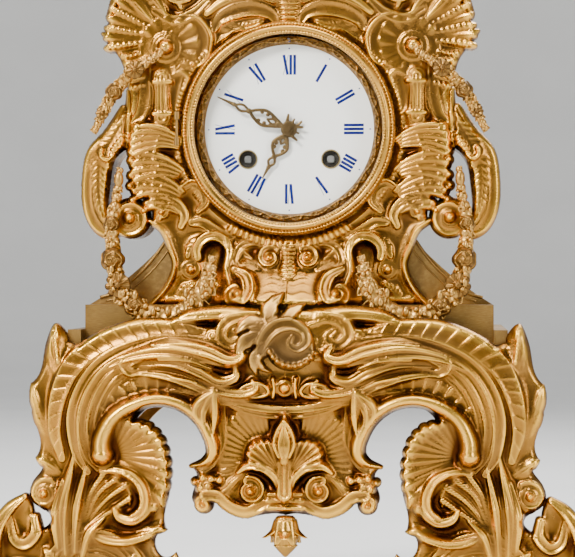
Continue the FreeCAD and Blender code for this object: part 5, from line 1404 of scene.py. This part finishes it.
# ---------------------------------------------------------------- centre ornament, finial and pendant
def cartouche():
    """The asymmetrical shell-and-leaf ornament over the middle of the belly."""
    step = 0.36
    r = Relief((-36, 138), (26, 190), step)
    r.boss((3.0, 157.0), 13.4, 2.6, 0.6, disc, proud=True)
    leaves = (([(-6, 166), (-8, 172), (-7, 178), (-2, 183.6)], 6.2, 6.0),
              ([(-2, 168), (3, 174), (10, 178.6)], 4.4, 4.4),
              ([(-8, 164), (-14, 168.6), (-20, 168.4), (-25, 163.6)], 5.6, 5.6),
              ([(-9, 160), (-16, 161.6), (-22, 157), (-24.6, 149.6)], 5.6, 5.4),
              ([(-7, 156), (-13, 153.6), (-16, 148), (-14.6, 142)], 4.8, 4.6))
    for path, width, height in leaves:
        r.stroke(path, [width * 0.8, width * 0.9, width * 0.7, width * 0.25], height * 0.62, dome, 0.8,
                 proud=True)
        r.leaf(path, width, height, lobes=3, veins=14.0, level=1.2, curl=0.2, proud=True)
    curl = [(-13, 149), (-11, 159), (-5.0, 166.4), (3.4, 168.4), (10.2, 165.4), (11.6, 159.4), (7.4, 155.6),
            (3.0, 158), (4.4, 161.8)]
    r.stroke(curl, [1.6, 3.4, 4.0, 3.6, 2.9, 2.4, 2.0, 1.5, 1.1], [4, 6.6, 7.2, 7.2, 7, 6.6, 6.2, 5.8, 5.4],
             gutter, 0.8, proud=True)
    r.stroke([(-13, 151), (-12, 146), (-7, 143)], [1.6, 2.6, 0.8], 5.2, plume, 0.8, proud=True)
    beads = arc((4.6, 160), 13.6, 206, 330, 10)
    for x, z in beads:
        r.boss((x, z), 1.7, 4.4, 3.0, proud=True)
    soften(r, 1.4)
    form = 78.0 + 3.0 * np.exp(-((r.Z - 158) / 20) ** 2) - 9.0 * step_smooth(r.Z, 168, 186)
    obj = relief_mesh("cartouche_scroll", r, form, lambda X, Z: form - 4.0, GILT_DARK_CARVED)
    own(obj, "case", "gilt_bronze_dark", "cartouche_ornament")


def finial():
    """A bouquet of roses and leaves on a gadrooned foot."""
    low, high = box_mm("crest_finial")
    y, bottom, top = (low[1] + high[1]) / 2, low[2], high[2]
    bunch = Bunch()
    around, rows = 96, []
    for z, radius, lobes in ((0, 8.6, 0), (2, 9.0, 0), (4, 7.0, 0), (6.5, 6.6, 0), (10, 9.0, 0.7),
                             (14, 11.8, 0.9),
                             (17, 12.6, 0.7), (18.6, 11.6, 0.2), (19.4, 9.5, 0)):
        rows.append([((radius + lobes * abs(sin(8 * a))) * cos(a),
                      (radius + lobes * abs(sin(8 * a))) * sin(a), z)
                     for a in np.linspace(0, 2 * pi, around, endpoint=False)])
    points = [p for row in rows for p in row] + [(0, 0, 0), (0, 0, 19.4)]
    faces = bands(len(rows), around) + cap(0, around, len(points) - 2, reverse=True)
    faces += cap((len(rows) - 1) * around, around, len(points) - 1)
    bunch.add(points, faces, Matrix.Translation((0, y, bottom)))
    random = np.random.default_rng(5)
    for ring, (height, spread, count) in enumerate(((20, 9.5, 9), (27, 8.5, 8), (34, 6.0, 6), (40, 3.0, 4))):
        for k in range(count):
            a = 360 * (k + 0.5 * (ring % 2)) / count
            spot = (spread * cos(radians(a)), y + spread * sin(radians(a)), bottom + height)
            flower = ROSE if (k + ring) % 2 == 0 else DAISY
            bunch.add(*flower, at(spot, random.uniform(3.9, 4.9), -15, a + 90, random.uniform(0, 90)))
            bunch.add(*LEAF, at(spot, 8.6, 20, a + 90, 90 + random.uniform(-30, 30)))
    bunch.add(*ball_shape(28, 20, 1.9), Matrix.Translation((0, y, bottom + 30)) @ Matrix.Scale(8.6, 4))
    bunch.add(*BUD, Matrix.Translation((0, y, top - 6.6)) @ Matrix.Scale(3.6, 4))
    own(bunch.object("finial_bouquet", GILT_DARK), "case", "gilt_bronze", "crest_finial")


def calyx_leaf(bunch, angle, y, top, length, flare):
    """A pointed sepal that lies against the bud and curls away at its tip."""
    rows, across = 14, 9
    points = []
    for depth in (0, 0.8):
        for t in np.linspace(0, 1, rows):
            half = 4.8 * sin(pi * (0.24 + 0.71 * t)) ** 0.7
            radius = 5.9 + 2.9 * t + flare * max(0, t - 0.5) ** 1.6 * 2.6 - depth
            height = top - length * t
            for u in np.linspace(-1, 1, across):
                a = radians(angle) + u * half / radius
                r = radius - 0.5 * u * u + 0.5 * (1 - abs(u)) ** 3
                points.append((r * cos(a), y + r * sin(a), height))
    bunch.add(points, sheet_faces(rows, across), Matrix.Identity(4))


def pendant():
    """A closed bud of overlapping scales under a collar, inside two rings of five sepals."""
    low, high = box_mm("apron_pendant")
    y, bottom, top = (low[1] + high[1]) / 2, low[2] - 1.6, high[2]
    shares = (0, 0.05, 0.12, 0.17, 0.24, 0.38, 0.55, 0.72, 0.86, 0.95, 1.0)
    sizes = (5.0, 6.4, 6.4, 5.4, 6.6, 8.4, 8.4, 6.8, 4.2, 2.1, 0.5)
    around, rings = 96, 60
    points = []
    for k in range(rings):
        share = k / (rings - 1)
        radius = np.interp(share, shares, sizes)
        row = np.clip((share - 0.2) / 0.8, 0, 1) * 3.2
        for a in np.linspace(0, 2 * pi, around, endpoint=False):
            scale = abs(cos(2.5 * a + (pi / 2 if int(row) % 2 else 0))) ** 0.7
            lift = 0.26 * scale * (1 - row % 1) * (share > 0.2) + 0.05 * abs(cos(12 * a))
            size = max(0.3, radius * (0.80 + 0.6 * lift))
            points.append((size * cos(a), y + size * sin(a), top - share * (top - bottom)))
    points += [(0, y, top), (0, y, bottom)]
    faces = bands(rings, around, reverse=True) + cap(0, around, len(points) - 2)
    faces += cap((rings - 1) * around, around, len(points) - 1, reverse=True)
    bunch = Bunch()
    bunch.add(points, faces, Matrix.Identity(4))
    for ring, (start, length, flare) in enumerate(((2.2, 9.0, 4.2), (1.8, 12.6, -0.8))):
        for k in range(5):
            calyx_leaf(bunch, 72 * k + 36 * ring - 90, y, top - start, length, flare)
    own(bunch.object("pendant_bud", GILT_RING), "case", "gilt_bronze_dark", "apron_pendant")


# ---------------------------------------------------------------- finishes for the CAD pieces that stay
def finishes():
    by_slot = {"gilt_bronze": GILT_PLAIN, "gilt_bronze_dark": GILT_DARK, "satin_gilt": SATIN,
               "polished_brass": BRASS,
               "bell_metal": BELL, "bronze_hands": HANDS, "blued_steel": BLUED, "bright_steel": STEEL,
               "white_enamel": ENAMEL, "glass": GLASS}
    for row in frame["record"]["subparts"]:
        obj = nodes[row["node"]]
        obj.data.materials.clear()
        obj.data.materials.append(by_slot[row["material_slot"]])


def feet():
    """Four pads with cut corners and a moulded edge."""
    high = box_mm("feet")[1]
    wide, deep, cut = 78.0, 28.0, 3.2
    levels = ((0.0, 0.8), (0.6, 0.1), (3.4, 0.1), (3.9, 1.0), (4.4, 1.3), (6.0, 2.4), (8.2, 3.0), (9.0, 2.2),
              (9.4, 1.4),
              (11.2, 1.4), (12.0, 2.0))
    bunch = Bunch()
    for x in (-1, 1):
        for y in (-1, 1):
            middle = (x * (high[0] - wide / 2), y * (high[1] - deep / 2))
            points = []
            for z, inset in levels:
                a, b = wide / 2 - inset, deep / 2 - inset
                points += [(-a + cut, -b, z), (a - cut, -b, z), (a, -b + cut, z), (a, b - cut, z),
                           (a - cut, b, z), (-a + cut, b, z), (-a, b - cut, z), (-a, -b + cut, z)]
            last = 8 * len(levels) - 8
            faces = bands(len(levels), 8) + [tuple(range(8))[::-1], tuple(range(last, last + 8))]
            bunch.add(points, faces, Matrix.Translation((middle[0], middle[1], 0)))
    obj = bunch.object("moulded_feet", GILT_PLAIN)
    obj.data.polygons.foreach_set("use_smooth", np.zeros(len(obj.data.polygons), bool))
    own(obj, "case", "gilt_bronze", "feet")


def stage():
    """A pale round floor whose edge curves up all about, and soft lights."""
    line, _, _ = smooth([(0.02, 0.0), (1.6, 0.0), (2.6, 0.0), (3.2, 0.10), (3.6, 0.45), (3.8, 1.1),
                         (3.85, 3.4)], 0.08)
    around = 96
    angles = np.linspace(0, 2 * pi, around, endpoint=False)
    points = [(r * cos(a), r * sin(a), z) for r, z in line for a in angles] + [(0, 0, 0)]
    faces = bands(len(line), around, reverse=True) + cap(0, around, len(points) - 1)
    backdrop = new_object("backdrop", np.array(points) / MM, faces, shader("paper", paper))
    world = bpy.data.worlds.new("studio")
    world.use_nodes = True
    world.node_tree.nodes["Background"].inputs[0].default_value = (0.75, 0.80, 0.88, 1)
    world.node_tree.nodes["Background"].inputs[1].default_value = 0.22
    bpy.context.scene.world = world
    softbox("key", (-0.70, -1.05, 1.05), (0.34, 0.34), 37, (1.0, 0.96, 0.90))
    softbox("fill", (1.05, -0.75, 0.55), (0.25, 0.8), 9.5, (1.0, 0.97, 0.92))
    softbox("low", (-0.85, -0.6, 0.16), (0.25, 0.5), 3.0, (1.0, 0.95, 0.88))
    softbox("top", (0.0, -0.25, 1.5), (0.9, 0.6), 15, (1, 1, 1))
    softbox("rear", (0.5, 1.0, 1.1), (0.8, 0.6), 14, (1, 1, 1))
    wash = bpy.data.lights.new("wash", "AREA")
    wash.shape, wash.size, wash.energy = "DISK", 4.0, 44
    lamp = bpy.data.objects.new("wash", wash)
    lamp.location = (0, 0.6, 3.3)
    bpy.context.scene.collection.objects.link(lamp)


def paper(n, l, bsdf):
    l.new(mixed(n, l, noise(n, l, 6, 3), (0.82, 0.82, 0.81), (0.85, 0.85, 0.84)), bsdf.inputs["Base Color"])
    bsdf.inputs["Roughness"].default_value = 0.9


def softbox(name, place, size, power, colour):
    data = bpy.data.lights.new(name, "AREA")
    data.shape = "RECTANGLE"
    data.size, data.size_y = size
    data.energy = power
    data.color = colour
    lamp = bpy.data.objects.new(name, data)
    lamp.location = place
    aim = Vector((0, 0, 0.22)) - Vector(place)
    lamp.rotation_euler = aim.to_track_quat("-Z", "Y").to_euler()
    bpy.context.scene.collection.objects.link(lamp)


def camera():
    """Level with the clock's waist, a little to the right of square on."""
    distance, azimuth, height = 1.2, radians(4.0), 0.192
    across, front_plane, sensor = 0.305, 0.06, 36
    data = bpy.data.cameras.new("camera")
    data.sensor_width = sensor
    data.lens = sensor * (distance - front_plane) / across
    obj = bpy.data.objects.new("camera", data)
    obj.location = (distance * sin(azimuth), -distance * cos(azimuth), height)
    aim = Vector((0.0, -front_plane, height)) - obj.location
    obj.rotation_euler = aim.to_track_quat("-Z", "Y").to_euler()
    bpy.context.scene.collection.objects.link(obj)
    bpy.context.scene.camera = obj


finishes()
castings()
handles()
flanks()
winding_shades()
garlands()
cartouche()
finial()
pendant()
feet()
bezel()
sight()
glass_pane()
numerals()
hand("minute_hand_cast", "minute_hand", "centre_arbor", 42.0, 4.2, 4.0, 294.4)
hand("hour_hand_cast", "hour_hand", "hour", 30.0, 4.4, 4.2, 208.5)
stage()
camera()
